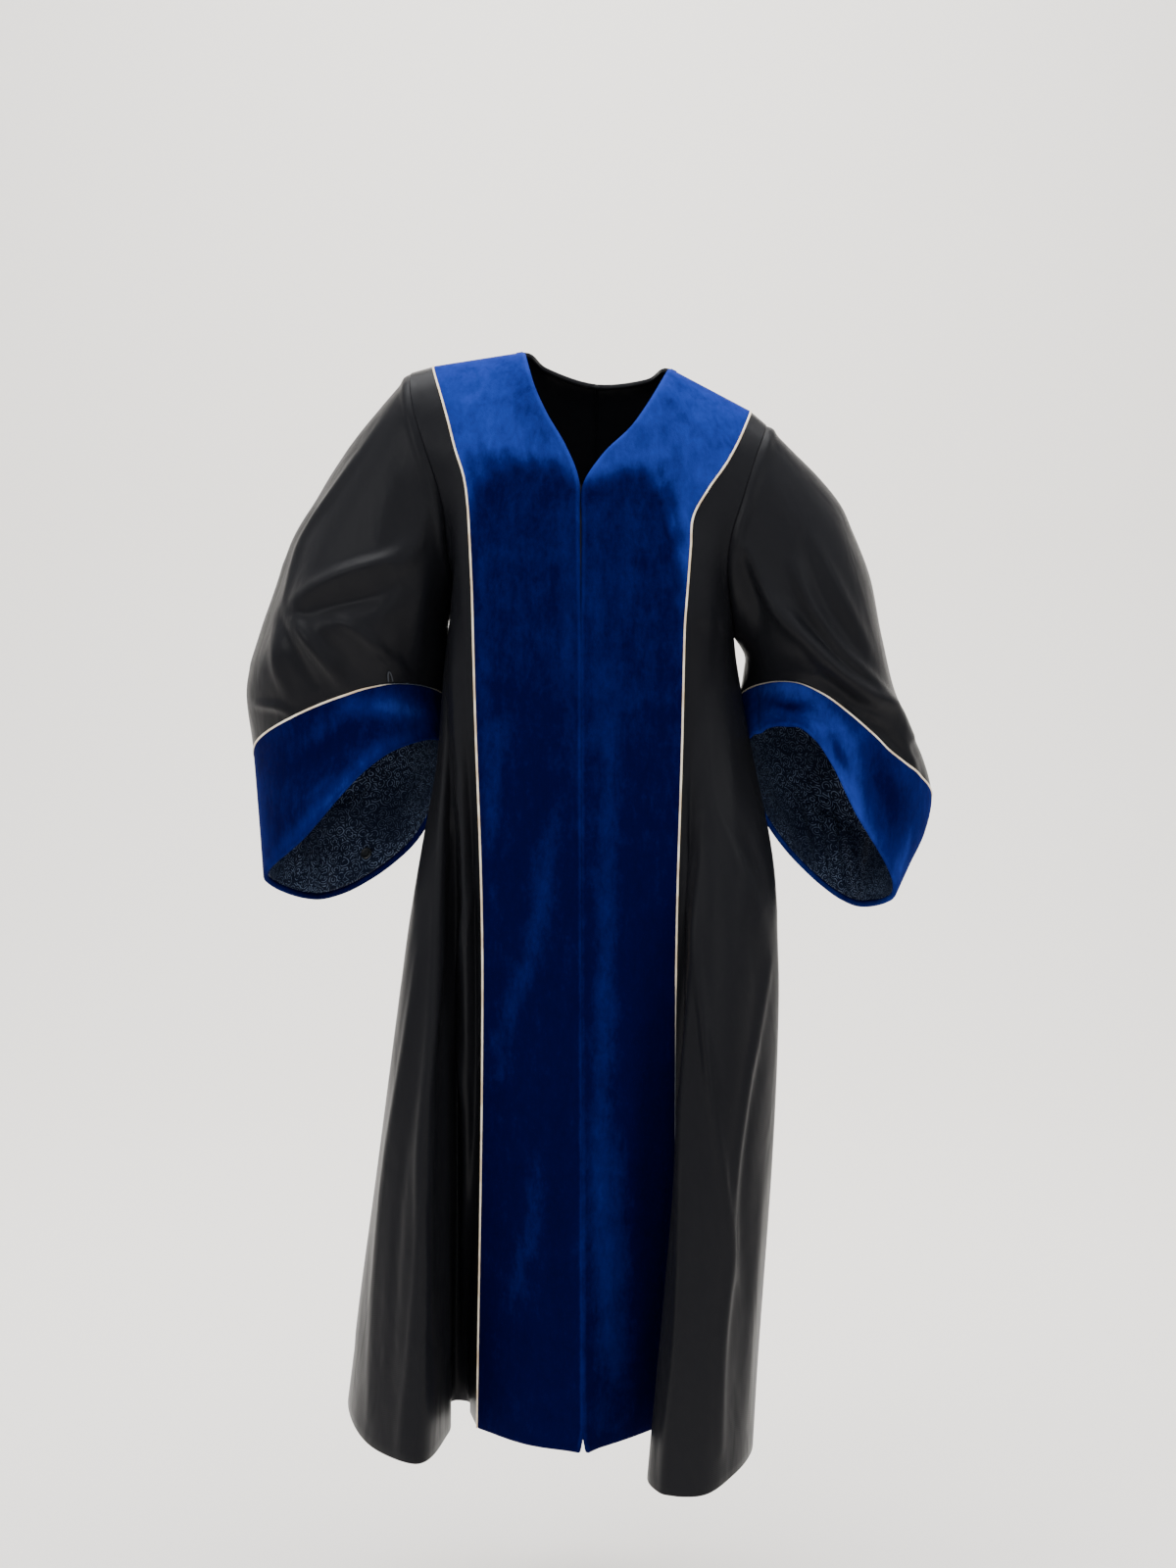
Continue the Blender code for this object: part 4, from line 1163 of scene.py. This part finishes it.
@dataclass(frozen=True)
class Velvet(Finish):
    """Royal blue velvet: light where its pile stands up and where sheen, top light and highlights are
    painted, nearly black where it lies down and where shade is painted.
    """

    # From the lowest value of pile and painted light to the highest: nearly black where the pile lies
    # down or shade is painted, bright blue where it stands up or sheen and top light are painted.
    colours: tuple = (
        (0.0, (0.0001, 0.0003, 0.010)),
        (0.35, (0.0004, 0.0005, 0.027)),
        (0.6, (0.0016, 0.0055, 0.078)),
        (1.0, (0.0150, 0.0345, 0.240)),
    )
    roughness: float = 0.85
    refraction: float = 1.08
    clouds: Noise = Noise(30.0, 3.0, 0.6)
    marks: Noise = Noise(110.0, 2.0, 0.5, 0.3)
    mark_degrees: float = 25
    grain: Noise = Noise(260.0, 3.0, stretch=0.6)
    pile: Noise = Noise(1100.0, 1.0, stretch=0.5)
    relief: Relief = Relief(0.35, 0.0012)
    sheen: float = 0.05
    sheen_roughness: float = 0.30
    sheen_tint: tuple = (0.02, 0.12, 0.95, 1.0)

    def build(self, shader: Shader) -> None:
        """Connects the velvet's nodes."""
        # The pile's direction together with its painted sheen, top light, highlights and shade.
        pile_and_light = shader.painted("nap_and_light")
        clouds, grain, pile = map(shader.noise, (self.clouds, self.grain, self.pile))
        slant = shader.object_place(self.marks.stretch, math.radians(self.mark_degrees))
        marks = shader.noise(self.marks, slant)
        stir = 0.10 + pile_and_light * 0.24
        lift = varied(pile_and_light, (clouds, stir), (marks, stir), (grain, 0.16), (pile, 0.10))
        shader.surface_values(
            Base_Color=shader.ramp(lift, self.colours),
            Roughness=varied(self.roughness, (grain, 0.2)),
            Normal=shader.bump(grain + pile * 0.5, self.relief),
            Sheen_Weight=self.sheen,
            Sheen_Roughness=self.sheen_roughness,
            Sheen_Tint=self.sheen_tint,
            IOR=self.refraction,
        )


@dataclass(frozen=True)
class SatinCord(Finish):
    """Ivory satin piping with painted shade in random patches, and painted dark as painted shade where it
    is pulled in under the seam or hidden under a fold.
    """

    colour: tuple = (0.93, 0.84, 0.66)
    shade: tuple = (0.66, 0.50, 0.32)
    # Painted shade for where the cord is pulled in or hidden.
    cord_shade: tuple = (0.055, 0.065, 0.085)
    roughness: float = 0.40
    patches: Noise = Noise(45.0, 3.0)
    threads: Noise = Noise(1500.0, 2.0, stretch=0.3)
    relief: Relief = Relief(0.3, 0.0002)

    def build(self, shader: Shader) -> None:
        """Connects the cord's nodes."""
        patches, threads = map(shader.noise, (self.patches, self.threads))
        # Painted shade in random patches over the cord's ivory.
        satin = shader.mixed(patches.between(0.30, 0.70), self.shade, self.colour)
        shader.surface_values(
            Base_Color=shader.mixed(shader.painted("cord_shade"), satin, self.cord_shade),
            Roughness=varied(self.roughness, (threads, 0.2)),
            Normal=shader.bump(threads, self.relief),
            Specular_IOR_Level=0.6,
        )


@dataclass(frozen=True)
class JacquardLining(Finish):
    """Dark navy lining with a woven figure of small curls in a lighter, shinier thread."""

    ground: tuple = (0.0065, 0.0105, 0.0270)
    figure: tuple = (0.230, 0.300, 0.440)
    refraction: float = 1.30
    roughness: float = 0.40
    wander: Noise = Noise(90.0, 1.0)
    glow: Noise = Noise(18.0, 2.0)
    breaks: Noise = Noise(210.0, 1.0)
    threads: Noise = Noise(1400.0, 2.0, stretch=0.2)
    relief: Relief = Relief(0.25, 0.0003)
    curl_scale: float = 82.0
    curl_rings: float = 4.2

    def build(self, shader: Shader) -> None:
        """Connects the lining's nodes."""
        place = shader.cloth_place()
        in_the_cloth = (self.wander, self.glow, self.breaks)
        wander, glow, breaks = (shader.noise(layer, place) for layer in in_the_cloth)
        cells = {"Vector": place, "Scale": self.curl_scale}
        spots = shader.node("ShaderNodeTexVoronoi", {"voronoi_dimensions": "2D"}, cells, "Distance")
        rings = ((spots + wander * 0.22) * (2 * math.pi * self.curl_rings)).wave().between(0.35, 0.95)
        figure = rings * breaks.between(0.40, 0.54) * (0.35 + glow.between(0.30, 0.70) * 0.65)
        threads = shader.noise(self.threads)
        shader.surface_values(
            Base_Color=shader.mixed(figure, self.ground, self.figure),
            Roughness=varied(self.roughness - figure * 0.12, (threads, 0.1)),
            Normal=shader.bump(figure + threads * 0.3, self.relief),
            IOR=self.refraction,
        )


@dataclass(frozen=True)
class Polished(Finish):
    """Polished black plastic."""

    colour: tuple = (0.020, 0.023, 0.026)
    scuffs: Noise = Noise(700.0, 3.0)
    relief: Relief = Relief(0.05, 0.0001)

    def build(self, shader: Shader) -> None:
        """Connects the plastic's nodes."""
        scuffs = shader.noise(self.scuffs)
        shader.surface_values(
            Base_Color=(*self.colour, 1),
            Roughness=0.20 + scuffs * 0.12,
            Normal=shader.bump(scuffs, self.relief),
        )


@dataclass(frozen=True)
class Paper(Finish):
    """The plain pale floor and its sweep."""

    colour: tuple = (0.925, 0.895, 0.845)

    def build(self, shader: Shader) -> None:
        """Connects the floor's nodes."""
        shader.surface_values(Base_Color=(*self.colour, 1), Roughness=0.9, Specular_IOR_Level=0.1)


TWILL = SatinTwill("black_satin_twill")
VELVET = Velvet("royal_velvet")
CORD = SatinCord("champagne_cord")
LINING = JacquardLining("navy_jacquard")
THREAD = SatinTwill("loop_thread", (0.03, 0.034, 0.04), (0.06, 0.065, 0.075), 0.6)
PLASTIC = Polished("black_plastic")
PAPER = Paper("pale_floor")


class Stuff(NamedTuple):
    """A cloth: its finish, its thickness in millimetres and the record's material slot."""

    finish: Finish
    wall: float
    slot: str


BLACK_CLOTH = Stuff(TWILL, 1.6, "black_cloth")
BLUE_VELVET = Stuff(VELVET, 2.4, "blue_velvet")
NAVY_LINING = Stuff(LINING, 1.0, "navy_lining")


def placed(name: str, data: bpy.types.ID) -> bpy.types.Object:
    """Puts a mesh, curve, light or camera into the scene."""
    made = bpy.data.objects.new(name, data)
    bpy.context.scene.collection.objects.link(made)
    return made


def mesh_object(name: str, maker: bmesh.types.BMesh, finish: Finish) -> bpy.types.Object:
    """Puts a smooth mesh with its finish into the scene."""
    mesh = bpy.data.meshes.new(name)
    maker.to_mesh(mesh)
    maker.free()
    mesh.shade_smooth()
    mesh.materials.append(finish.material())
    return placed(name, mesh)


def cloth_piece(node: str, grid: ClothGrid, stuff: Stuff) -> None:
    """Args:
        node: the node that it stands for.
        grid: its middle points.
        stuff: the cloth that it is cut from.
    """
    columns, rows = grid.points.shape[:2]
    spans = columns if grid.closed else columns - 1
    maker = bmesh.new()
    bmesh.ops.create_grid(maker, x_segments=spans, y_segments=rows - 1, size=0.5)
    flat_places = maker.loops.layers.uv.new("cloth")
    nap_and_light = maker.verts.layers.float.new("nap_and_light")
    across, down = grid.across_lengths(), grid.down_lengths()
    width = float(across[-1].mean()) * columns / max(columns - 1, 1)
    places = {}
    for vert in maker.verts:
        i = round((vert.co.x + 0.5) * spans)
        j = round((0.5 - vert.co.y) * (rows - 1))
        places[vert] = (i, j)
    for face in maker.faces:
        for loop in face.loops:
            i, j = places[loop.vert]
            loop[flat_places].uv = (width * i / spans * MM, float(down[i % columns, j]) * MM)
    for vert, (i, j) in places.items():
        vert.co = Vector(grid.points[i % columns, j] * MM)
        vert[nap_and_light] = float(grid.nap_and_light[i % columns, j])
    maker.normal_update()
    facing = 0.0
    for face in maker.faces:
        i, j = places[face.verts[0]]
        facing += face.normal.dot(Vector(grid.normals[i % columns, j]))
    if facing < 0:
        bmesh.ops.reverse_faces(maker, faces=maker.faces[:])
    if grid.closed:
        bmesh.ops.remove_doubles(maker, verts=maker.verts[:], dist=SAME_POINT)
    piece = mesh_object(node + "_cloth", maker, stuff.finish)
    thick = piece.modifiers.new("wall", "SOLIDIFY")
    thick.thickness = stuff.wall * MM
    thick.offset = 0.0
    size = grid.flat_size()
    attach(piece, BODY)
    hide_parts(node)
    LOG.info("%s: %d faces, flat %.3f x %.3f m", piece.name, len(piece.data.polygons), *size)


def finished_piece(maker: bmesh.types.BMesh, finish: Finish, node: str) -> None:
    """Makes one rigid piece that stands for a node."""
    piece = mesh_object(node + "_fine", maker, finish)
    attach(piece, BODY)
    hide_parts(node)


def cord_piece(node: str, path: Grid, closed: bool, thin: Sequence[Crease]) -> None:
    """Makes piping along a path, which stands for a node.

    Args:
        node: the node's name.
        path: the points along its middle.
        closed: whether its ends meet.
        thin: the stretches where it is pulled in under the seam and painted in shade.
    """
    curve = bpy.data.curves.new(node, "CURVE")
    curve.dimensions = "3D"
    curve.bevel_depth = PIPING_RADIUS * MM
    curve.bevel_resolution = CORD_ROUNDNESS
    curve.use_fill_caps = not closed
    spline = curve.splines.new("POLY")
    spline.points.add(len(path) - 1)
    for point, place, share in zip(spline.points, path * MM, pulled_in(path, thin)):
        point.co = (*place, 1.0)
        point.radius = 1.0 - PULLED_IN * share
    spline.use_cyclic_u = closed
    source = placed(node + "_path", curve)
    bpy.context.view_layer.update()
    mesh = bpy.data.meshes.new_from_object(source.evaluated_get(bpy.context.evaluated_depsgraph_get()))
    bpy.data.objects.remove(source)
    maker = bmesh.new()
    maker.from_mesh(mesh)
    bpy.data.meshes.remove(mesh)
    bmesh.ops.remove_doubles(maker, verts=maker.verts[:], dist=SAME_POINT)
    bmesh.ops.recalc_face_normals(maker, faces=maker.faces[:])
    # How far each point is painted in shade where the cord hides.
    cord_shade = maker.verts.layers.float.new("cord_shade")
    places = np.array([vert.co / MM for vert in maker.verts])
    for vert, share in zip(maker.verts, pulled_in(places, thin)):
        vert[cord_shade] = float(share)
    finished_piece(maker, CORD, node)


def pulled_in(points: Grid, thin: Sequence[Crease]) -> Grid:
    """How far piping is pulled in under its seam at each point, from 0 to 1, which also sets how far it
    is painted in shade.
    """
    return np.clip(crease_heights(points, thin), 0, 1)


@dataclass
class RobeBody:
    """The body of the robe: bands, fronts, back and the bands' piping."""

    front_steps: int = 15
    band_steps: int = 22
    back_steps: int = 7
    row_steps: int = 9
    turned_gap: float = 0.95
    piped_gap: float = 2.2
    cord_stand_out: float = 0.9
    piped: dict = field(default_factory=dict)
    coarse_edges: dict = field(default_factory=dict)

    def front(self, side: Side) -> tuple[ClothGrid, ClothGrid]:
        """The velvet band and the black front of one side, before their seams."""
        band, front = BAND[side], FRONT[side]
        centre = seam_column(NECKLINE[side], chest_point(band[0]))
        piped = seam_column(PIPED_SEAM[side], chest_point(band[-1]))
        armhole = armhole_column(side, chest_point(front[-1]), -ARMHOLE_FRONT_DEPTH)
        self.coarse_edges[side, "front"] = armhole
        outward = -1 if side is Side.LEFT else 1
        made = []
        for lines, first, last, steps in (
            (band, centre, piped, self.band_steps),
            ([band[-1], *front], piped, armhole, self.front_steps),
        ):
            whole = whole_columns(lines, columns_between(lines, first, last))
            made.append(smooth_lines(whole, steps))
        count = len(made[0])
        fine = smooth_lines(np.concatenate([made[0][:-1], made[1]]).transpose(1, 0, 2), self.row_steps)
        grid = ClothGrid(self.eased(fine.transpose(1, 0, 2)), outward)
        self.piped[side] = grid.points[count - 1] + grid.normals[count - 1] * self.cord_stand_out
        return grid.part(slice(0, count)), grid.part(slice(count - 1, None))

    def eased(self, points: Grid) -> Grid:
        """Points of a front or the back, smoothed where the yoke meets the skirt."""
        return eased_across(points, YOKE_ROWS * self.row_steps, 2 * self.row_steps)

    def back(self) -> ClothGrid:
        """The back, from the right side seam to the left, before its seams."""
        first, last = NECK_CORNERS
        neck_columns = []
        neck_lines = BACK[first : last + 1]
        (right_x, right_z), (left_x, left_z) = NECKLINE[Side.RIGHT][0], NECKLINE[Side.LEFT][0]
        for i, line in enumerate(neck_lines):
            share = i / (len(neck_lines) - 1)
            across = (1 - math.cos(math.pi * share)) / 2
            dip = math.sin(math.pi * share)
            top = np.array((
                right_x + (left_x - right_x) * across,
                BACK_NECK_DEPTH * dip,
                right_z + (left_z - right_z) * across - BACK_NECK_DROP * dip**2,
            ))
            neck_columns.append(rolled(top, chest_point(line)))
        edges = {
            side: armhole_column(side, chest_point(line), ARMHOLE_BACK_DEPTH, ARMHOLE_BACK_BOW)
            for side, line in ((Side.RIGHT, BACK[0]), (Side.LEFT, BACK[-1]))
        }
        for side, edge in edges.items():
            self.coarse_edges[side, "back"] = edge
        right = columns_between(BACK[: first + 1], edges[Side.RIGHT], neck_columns[0])
        left = columns_between(BACK[last:], neck_columns[-1], edges[Side.LEFT])
        yokes = right[:-1] + neck_columns + left[1:]
        coarse = smooth_lines(whole_columns(BACK, yokes), self.back_steps)
        self.straighten_shoulder(coarse, 0, first * self.back_steps)
        self.straighten_shoulder(coarse, len(coarse) - 1, last * self.back_steps)
        fine = smooth_lines(coarse.transpose(1, 0, 2), self.row_steps).transpose(1, 0, 2)
        return ClothGrid(self.eased(fine))

    def straighten_shoulder(self, columns: Grid, armhole: int, neck: int) -> None:
        """Lays the top row on the straight shoulder seam from the armhole to the neck."""
        start, end = columns[armhole, 0].copy(), columns[neck, 0].copy()
        step = 1 if neck > armhole else -1
        for i in range(armhole, neck, step):
            columns[i, 0] = start + (end - start) * (i - armhole) / (neck - armhole)

    def build(self) -> None:
        """Makes the body's pieces."""
        for side in Side:
            self.build_front(side)
        back = self.back()
        back.raised(crease_heights(back.points, BACK_CREASES) * back.away_from_sides(SEAM_REACH))
        middle = CENTRE_BACK * self.back_steps
        gaps = (self.turned_gap, self.turned_gap, self.turned_gap, HEM_TURN.radius)
        turns = (SEAM_TURN, SEAM_TURN, SEAM_TURN, HEM_TURN)
        for side, columns in ((Side.RIGHT, slice(0, middle + 1)), (Side.LEFT, slice(middle, None))):
            half = back.part(columns).edged(gaps, turns)
            cloth_piece("back_" + side.value, half, BLACK_CLOTH)

    def build_front(self, side: Side) -> None:
        """Makes one front's band, black panel and piping."""
        band, front = self.front(side)
        heights = crease_heights(front.points, FRONT_CREASES[side])
        front.raised(heights * front.away_from_sides(SEAM_REACH))
        band.nap_and_light = band_nap_and_light(side, band.points)
        self.open_hem(side, band)
        band = band.edged(
            (ROLLED_EDGE.radius, self.piped_gap, ROLLED_EDGE.radius, HEM_TURN.radius),
            (ROLLED_EDGE, VELVET_SEAM_TURN, VELVET_SEAM_TURN, HEM_TURN),
        )
        cloth_piece("velvet_band_" + side.value, band, BLUE_VELVET)
        front = front.edged(
            (self.piped_gap, self.turned_gap, self.turned_gap, HEM_TURN.radius),
            (SEAM_TURN, SEAM_TURN, SEAM_TURN, HEM_TURN),
        )
        cloth_piece("front_" + side.value, front, BLACK_CLOTH)
        cord_piece("band_piping_" + side.value, self.piped[side], False, COVERED_CORD[side])

    def open_hem(self, side: Side, band: ClothGrid) -> None:
        """Draws the centre edge aside at its foot, where the two fronts part."""
        outward = -1 if side is Side.RIGHT else 1
        foot = band.points[0, -1, 2]
        near_foot = np.clip(1 - (band.points[..., 2] - foot) / NOTCH_HEIGHT, 0, 1) ** NOTCH_POWER
        near_edge = np.clip(1 - band.across_lengths() / NOTCH_REACH, 0, 1)
        band.points[..., 0] += outward * NOTCH_WIDTH * near_foot * near_edge


@dataclass
class Sleeve:
    """One sleeve with its cuff, piping and lining."""

    side: Side
    body: RobeBody
    around_steps: int = 8
    along_steps: int = 14
    section_steps: int = 3
    lining_rows: int = 5
    lining_inset: float = 7.0
    lining_depth: float = 2.6
    lining_seam_depth: float = 1.2
    lining_ease: float = 40.0
    start_gap: float = 0.9
    cuff_reach: float = 14.0
    head_rise: float = 2.2
    head_place: float = 9.0
    head_width: float = 5.5
    seam_dip: float = 1.6
    seam_width: float = 3.5
    blend_steps: float = 2.5
    cap_height: float = 60.0

    def grid(self) -> ClothGrid:
        """The whole sleeve from the armhole to the mouth."""
        front = self.body.coarse_edges[self.side, "front"]
        back = self.body.coarse_edges[self.side, "back"]
        armhole = np.concatenate([front, back[-2:0:-1]])
        sections = [armhole]
        for section in SLEEVES[self.side].values():
            corners = np.array(section, dtype=float)
            sections.append(smooth_lines(corners, len(armhole) // len(corners), closed=True))
        rings = smooth_lines(np.array(sections), self.section_steps)
        outward = -1 if self.side is Side.RIGHT else 1
        around = smooth_lines(rings.transpose(1, 0, 2), self.around_steps, closed=True)
        fine = smooth_lines(around.transpose(1, 0, 2), self.along_steps).transpose(1, 0, 2)
        grid = ClothGrid(fine, outward, closed=True)
        columns = len(grid.points)
        rows = np.arange(grid.points.shape[1])
        away = np.minimum(1.0, rows / (self.section_steps * self.along_steps))
        split = columns // 2
        heights = self.layered(grid, split, SLEEVE_CREASES[self.side]) * away
        seam = self.seam_row(grid)
        down = grid.down_lengths()
        head = self.head_rise * np.exp(-(((down - self.head_place) / self.head_width) ** 2))
        dip = self.seam_dip * np.exp(-((down / self.seam_width) ** 2))
        heights += (head - dip) * self.capped(grid)
        below = np.clip((down - down[:, seam : seam + 1]) / self.cuff_reach, 0, 1)
        heights = np.where(rows > seam, heights * (1 - below), heights)
        heights += self.layered(grid, split, CUFF_CREASES[self.side]) * below
        grid.raised(heights)
        # The cuff's pile, with its painted sheen, highlights and shade.
        grid.nap_and_light = CUFF_NAP_AND_LIGHT[self.side] + self.layered(grid, split, CUFF_STROKES[self.side])
        return grid

    def capped(self, grid: ClothGrid) -> Grid:
        """1 round the top of the armhole, falling to 0 at the underarm."""
        heights = grid.points[:, 0, 2]
        return smooth_step((heights - heights.min()) / self.cap_height)[:, None]

    def layered(self, grid: ClothGrid, split: int, layers: dict) -> Grid:
        """The heights of creases on the front half of the sleeve and on its back half.

        Near the sleeve's two outlines each half's creases fade into the other's.
        """
        columns = np.arange(len(grid.points))
        nearest = np.minimum(abs(columns - split), np.minimum(columns, len(columns) - columns))
        towards_front = np.where(columns < split, 0.5, -0.5)
        reach = self.blend_steps * self.around_steps
        front_share = 0.5 + towards_front * smooth_step(nearest / reach)
        front = crease_heights(grid.points, layers.get("front", ()))
        back = crease_heights(grid.points, layers.get("back", ()))
        return front * front_share[:, None] + back * (1 - front_share)[:, None]

    def seam_row(self, grid: ClothGrid) -> int:
        """The row along which the cuff is sewn on."""
        return grid.points.shape[1] - 1 - self.section_steps * self.along_steps

    def build(self) -> None:
        """Makes the sleeve's pieces."""
        grid = self.grid()
        name = self.side.value
        rows = grid.points.shape[1]
        seam = self.seam_row(grid)
        upper = grid.part(slice(None), slice(0, seam + 1)).edged(
            (0, 0, self.start_gap, self.body.piped_gap), (None, None, SEAM_TURN, CUFF_SEAM_TURN)
        )
        cloth_piece("sleeve_" + name, upper, BLACK_CLOTH)
        cuff = grid.part(slice(None), slice(seam, None)).edged(
            (0, 0, self.body.piped_gap, MOUTH_EDGE.radius), (None, None, CUFF_SEAM_TURN, MOUTH_EDGE)
        )
        cloth_piece("cuff_" + name, cuff, BLUE_VELVET)
        path = grid.points[:, seam] + grid.normals[:, seam] * self.body.cord_stand_out
        cord_piece("cuff_piping_" + name, path, True, THIN_CORD[self.side])
        start = rows - 1 - self.lining_rows * self.along_steps
        lining = grid.part(slice(None), slice(start, None)).with_gaps(0, 0, 0, self.lining_inset)
        wrinkles = self.layered(lining, len(lining.points) // 2, LINING_CREASES[self.side])
        sewn = 1 - np.clip(lining.down_lengths() / self.lining_ease, 0, 1)
        depth = self.lining_depth - (self.lining_depth - self.lining_seam_depth) * sewn
        lining = lining.moved_in(depth + np.maximum(wrinkles, 0))
        cloth_piece("sleeve_lining_" + name, lining, NAVY_LINING)


@dataclass
class Button:
    """The sleeve's flat button: a dished disc with a raised rim and four holes sewn with thread."""

    radius: float = 7.5
    half: float = 1.3
    rim: float = 1.9
    dish: float = 0.9
    hole_place: float = 1.7
    hole_radius: float = 0.75
    steps: int = 48

    def build(self, frame: dict) -> None:
        """Makes the button where the frame has it."""
        node = frame["nodes"]["sleeve_button"]
        places = np.array([node.matrix_world @ vert.co for vert in node.data.vertices])
        centre = (places.min(axis=0) + places.max(axis=0)) / 2
        axes = np.linalg.eigh(np.cov((places - centre).T))[1]
        facing = Vector(axes[:, 0])
        if facing.y < 0:
            facing = -facing
        turn = facing.to_track_quat("Z", "Y").to_matrix().to_4x4()
        turn.translation = Vector(centre)
        maker = bmesh.new()
        self.disc(maker)
        bmesh.ops.transform(maker, matrix=turn, verts=maker.verts[:])
        finished_piece(maker, PLASTIC, "sleeve_button")

    def disc(self, maker: bmesh.types.BMesh) -> None:
        """Turns the disc's profile about Z and adds the holes' thread, with its face towards -Z."""
        inner = self.radius - self.rim
        profile = (
            (0.0, -self.half + self.dish),
            (inner - 0.8, -self.half + self.dish),
            (inner - 0.2, -self.half + 0.25),
            (inner + 0.4, -self.half),
            (self.radius - 0.6, -self.half + 0.1),
            (self.radius, -self.half + 0.7),
            (self.radius, self.half - 0.5),
            (self.radius - 0.5, self.half),
            (0.0, self.half),
        )
        verts = [maker.verts.new((x * MM, 0, z * MM)) for x, z in profile]
        edges = [maker.edges.new(pair) for pair in zip(verts, verts[1:])]
        bmesh.ops.spin(
            maker, geom=verts + edges, cent=(0, 0, 0), axis=(0, 0, 1), angle=2 * math.pi,
            steps=self.steps, use_merge=True,
        )
        bmesh.ops.remove_doubles(maker, verts=maker.verts[:], dist=SAME_POINT)
        for k in range(4):
            angle = math.pi / 4 + k * math.pi / 2
            place = Vector((math.cos(angle), math.sin(angle), 0)) * self.hole_place * MM
            place.z = (-self.half + self.dish) * MM
            bmesh.ops.create_uvsphere(
                maker, u_segments=12, v_segments=8, radius=self.hole_radius * MM,
                matrix=Matrix.Translation(place),
            )
        bmesh.ops.recalc_face_normals(maker, faces=maker.faces[:])


class SoftLight(NamedTuple):
    """A square area light: where it stands and what it points at, its width and its power."""

    name: str
    place: tuple
    aim: tuple
    size: float
    power: float


LIGHTS = (
    SoftLight("overhead", (-0.5, -0.7, 2.6), (0, 0.2, -0.6), 2.0, 28),
    SoftLight("left_softbox", (-2.6, -2.1, 1.2), (0, 0, -0.6), 1.1, 32),
    SoftLight("right_softbox", (3.0, -1.6, 0.9), (0, 0, -0.6), 1.8, 22),
    SoftLight("front_fill", (0.5, -3.4, 0.1), (0, 0, -0.6), 2.2, 20),
    SoftLight("backdrop_light", (0.0, 1.0, 2.4), (0, 3.4, -0.6), 3.2, 235),
)


@dataclass
class Studio:
    """The camera, a plain pale floor that sweeps up behind, and soft lights."""

    camera_place: tuple = (0.0, -2.5, -0.20719)
    camera_pitch: float = 6.164
    lens: float = 50.0
    sensor: float = 36.0
    floor_z: float = -1.50
    floor_reach: float = 6.0
    sweep_y: float = 2.6
    sweep_radius: float = 1.4
    sweep_steps: int = 24
    surround_colour: tuple = (0.97, 0.97, 1.0, 1.0)
    surround_strength: float = 0.58
    surround_above: float = 0.80
    surround_left: float = 0.2

    def build(self) -> None:
        """Makes the studio."""
        camera = bpy.data.cameras.new("camera")
        camera.lens = self.lens
        camera.sensor_width = self.sensor
        holder = placed("camera", camera)
        holder.location = self.camera_place
        holder.rotation_euler = (math.radians(90 - self.camera_pitch), 0, 0)
        bpy.context.scene.camera = holder
        self.floor()
        self.lights()

    def floor(self) -> None:
        """Makes the floor, swept up behind the robe."""
        maker = bmesh.new()
        corners = [(side * self.floor_reach, -self.floor_reach, self.floor_z) for side in (-1, 1)]
        edge = maker.edges.new([maker.verts.new(corner) for corner in corners])
        moved = bmesh.ops.extrude_edge_only(maker, edges=[edge])["geom"]
        verts, edges = self.sorted_out(moved)
        bmesh.ops.translate(maker, verts=verts, vec=(0, self.floor_reach + self.sweep_y, 0))
        centre = (0, self.sweep_y, self.floor_z + self.sweep_radius)
        spun = bmesh.ops.spin(
            maker, geom=verts + edges, cent=centre, axis=(1, 0, 0), angle=math.pi / 2,
            steps=self.sweep_steps,
        )["geom_last"]
        moved = bmesh.ops.extrude_edge_only(maker, edges=self.sorted_out(spun)[1])["geom"]
        verts, _ = self.sorted_out(moved)
        bmesh.ops.translate(maker, verts=verts, vec=(0, 0, self.floor_reach))
        bmesh.ops.recalc_face_normals(maker, faces=maker.faces[:])
        mesh_object("floor", maker, PAPER)

    def sorted_out(self, items: Sequence) -> tuple[list, list]:
        """The points and the edges among a mesh operator's results."""
        kinds = (bmesh.types.BMVert, bmesh.types.BMEdge)
        return tuple([item for item in items if isinstance(item, kind)] for kind in kinds)

    def lights(self) -> None:
        """Makes the studio's soft lights and its surround, brighter above and on the left."""
        for spec in LIGHTS:
            light = bpy.data.lights.new(spec.name, "AREA")
            light.shape = "SQUARE"
            light.size = spec.size
            light.energy = spec.power
            holder = placed(spec.name, light)
            holder.location = spec.place
            direction = Vector(spec.aim) - Vector(spec.place)
            holder.rotation_euler = direction.to_track_quat("-Z", "Y").to_euler()
        world = bpy.data.worlds.new("studio")
        world.use_nodes = True
        shader = Shader(world.node_tree, world.node_tree.nodes["Background"])
        way = Signal(shader, shader.coordinates.outputs["Generated"])
        above = shader.component(way, "Z").between(-0.1, 0.9)
        leftward = (shader.component(way, "X") * -1.0).between(-0.2, 1.0)
        strength = self.surround_strength + above * self.surround_above + leftward * self.surround_left
        shader.surface_values(Color=self.surround_colour, Strength=strength)
        bpy.context.scene.world = world


def dress_nodes(frame: dict) -> None:
    """Gives the nodes that stay as they are a better material."""
    for name, finish in (("front_placket", TWILL), ("button_loop", THREAD)):
        node = frame["nodes"][name]
        node.data.materials.clear()
        node.data.materials.append(finish.material())


def main() -> None:
    """Builds the robe and its studio."""
    logging.basicConfig(level=logging.INFO, format="%(message)s")
    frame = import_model()
    Studio().build()
    body = RobeBody()
    body.build()
    for side in Side:
        Sleeve(side, body).build()
    Button().build(frame)
    dress_nodes(frame)


if __name__ == "__main__":
    main()
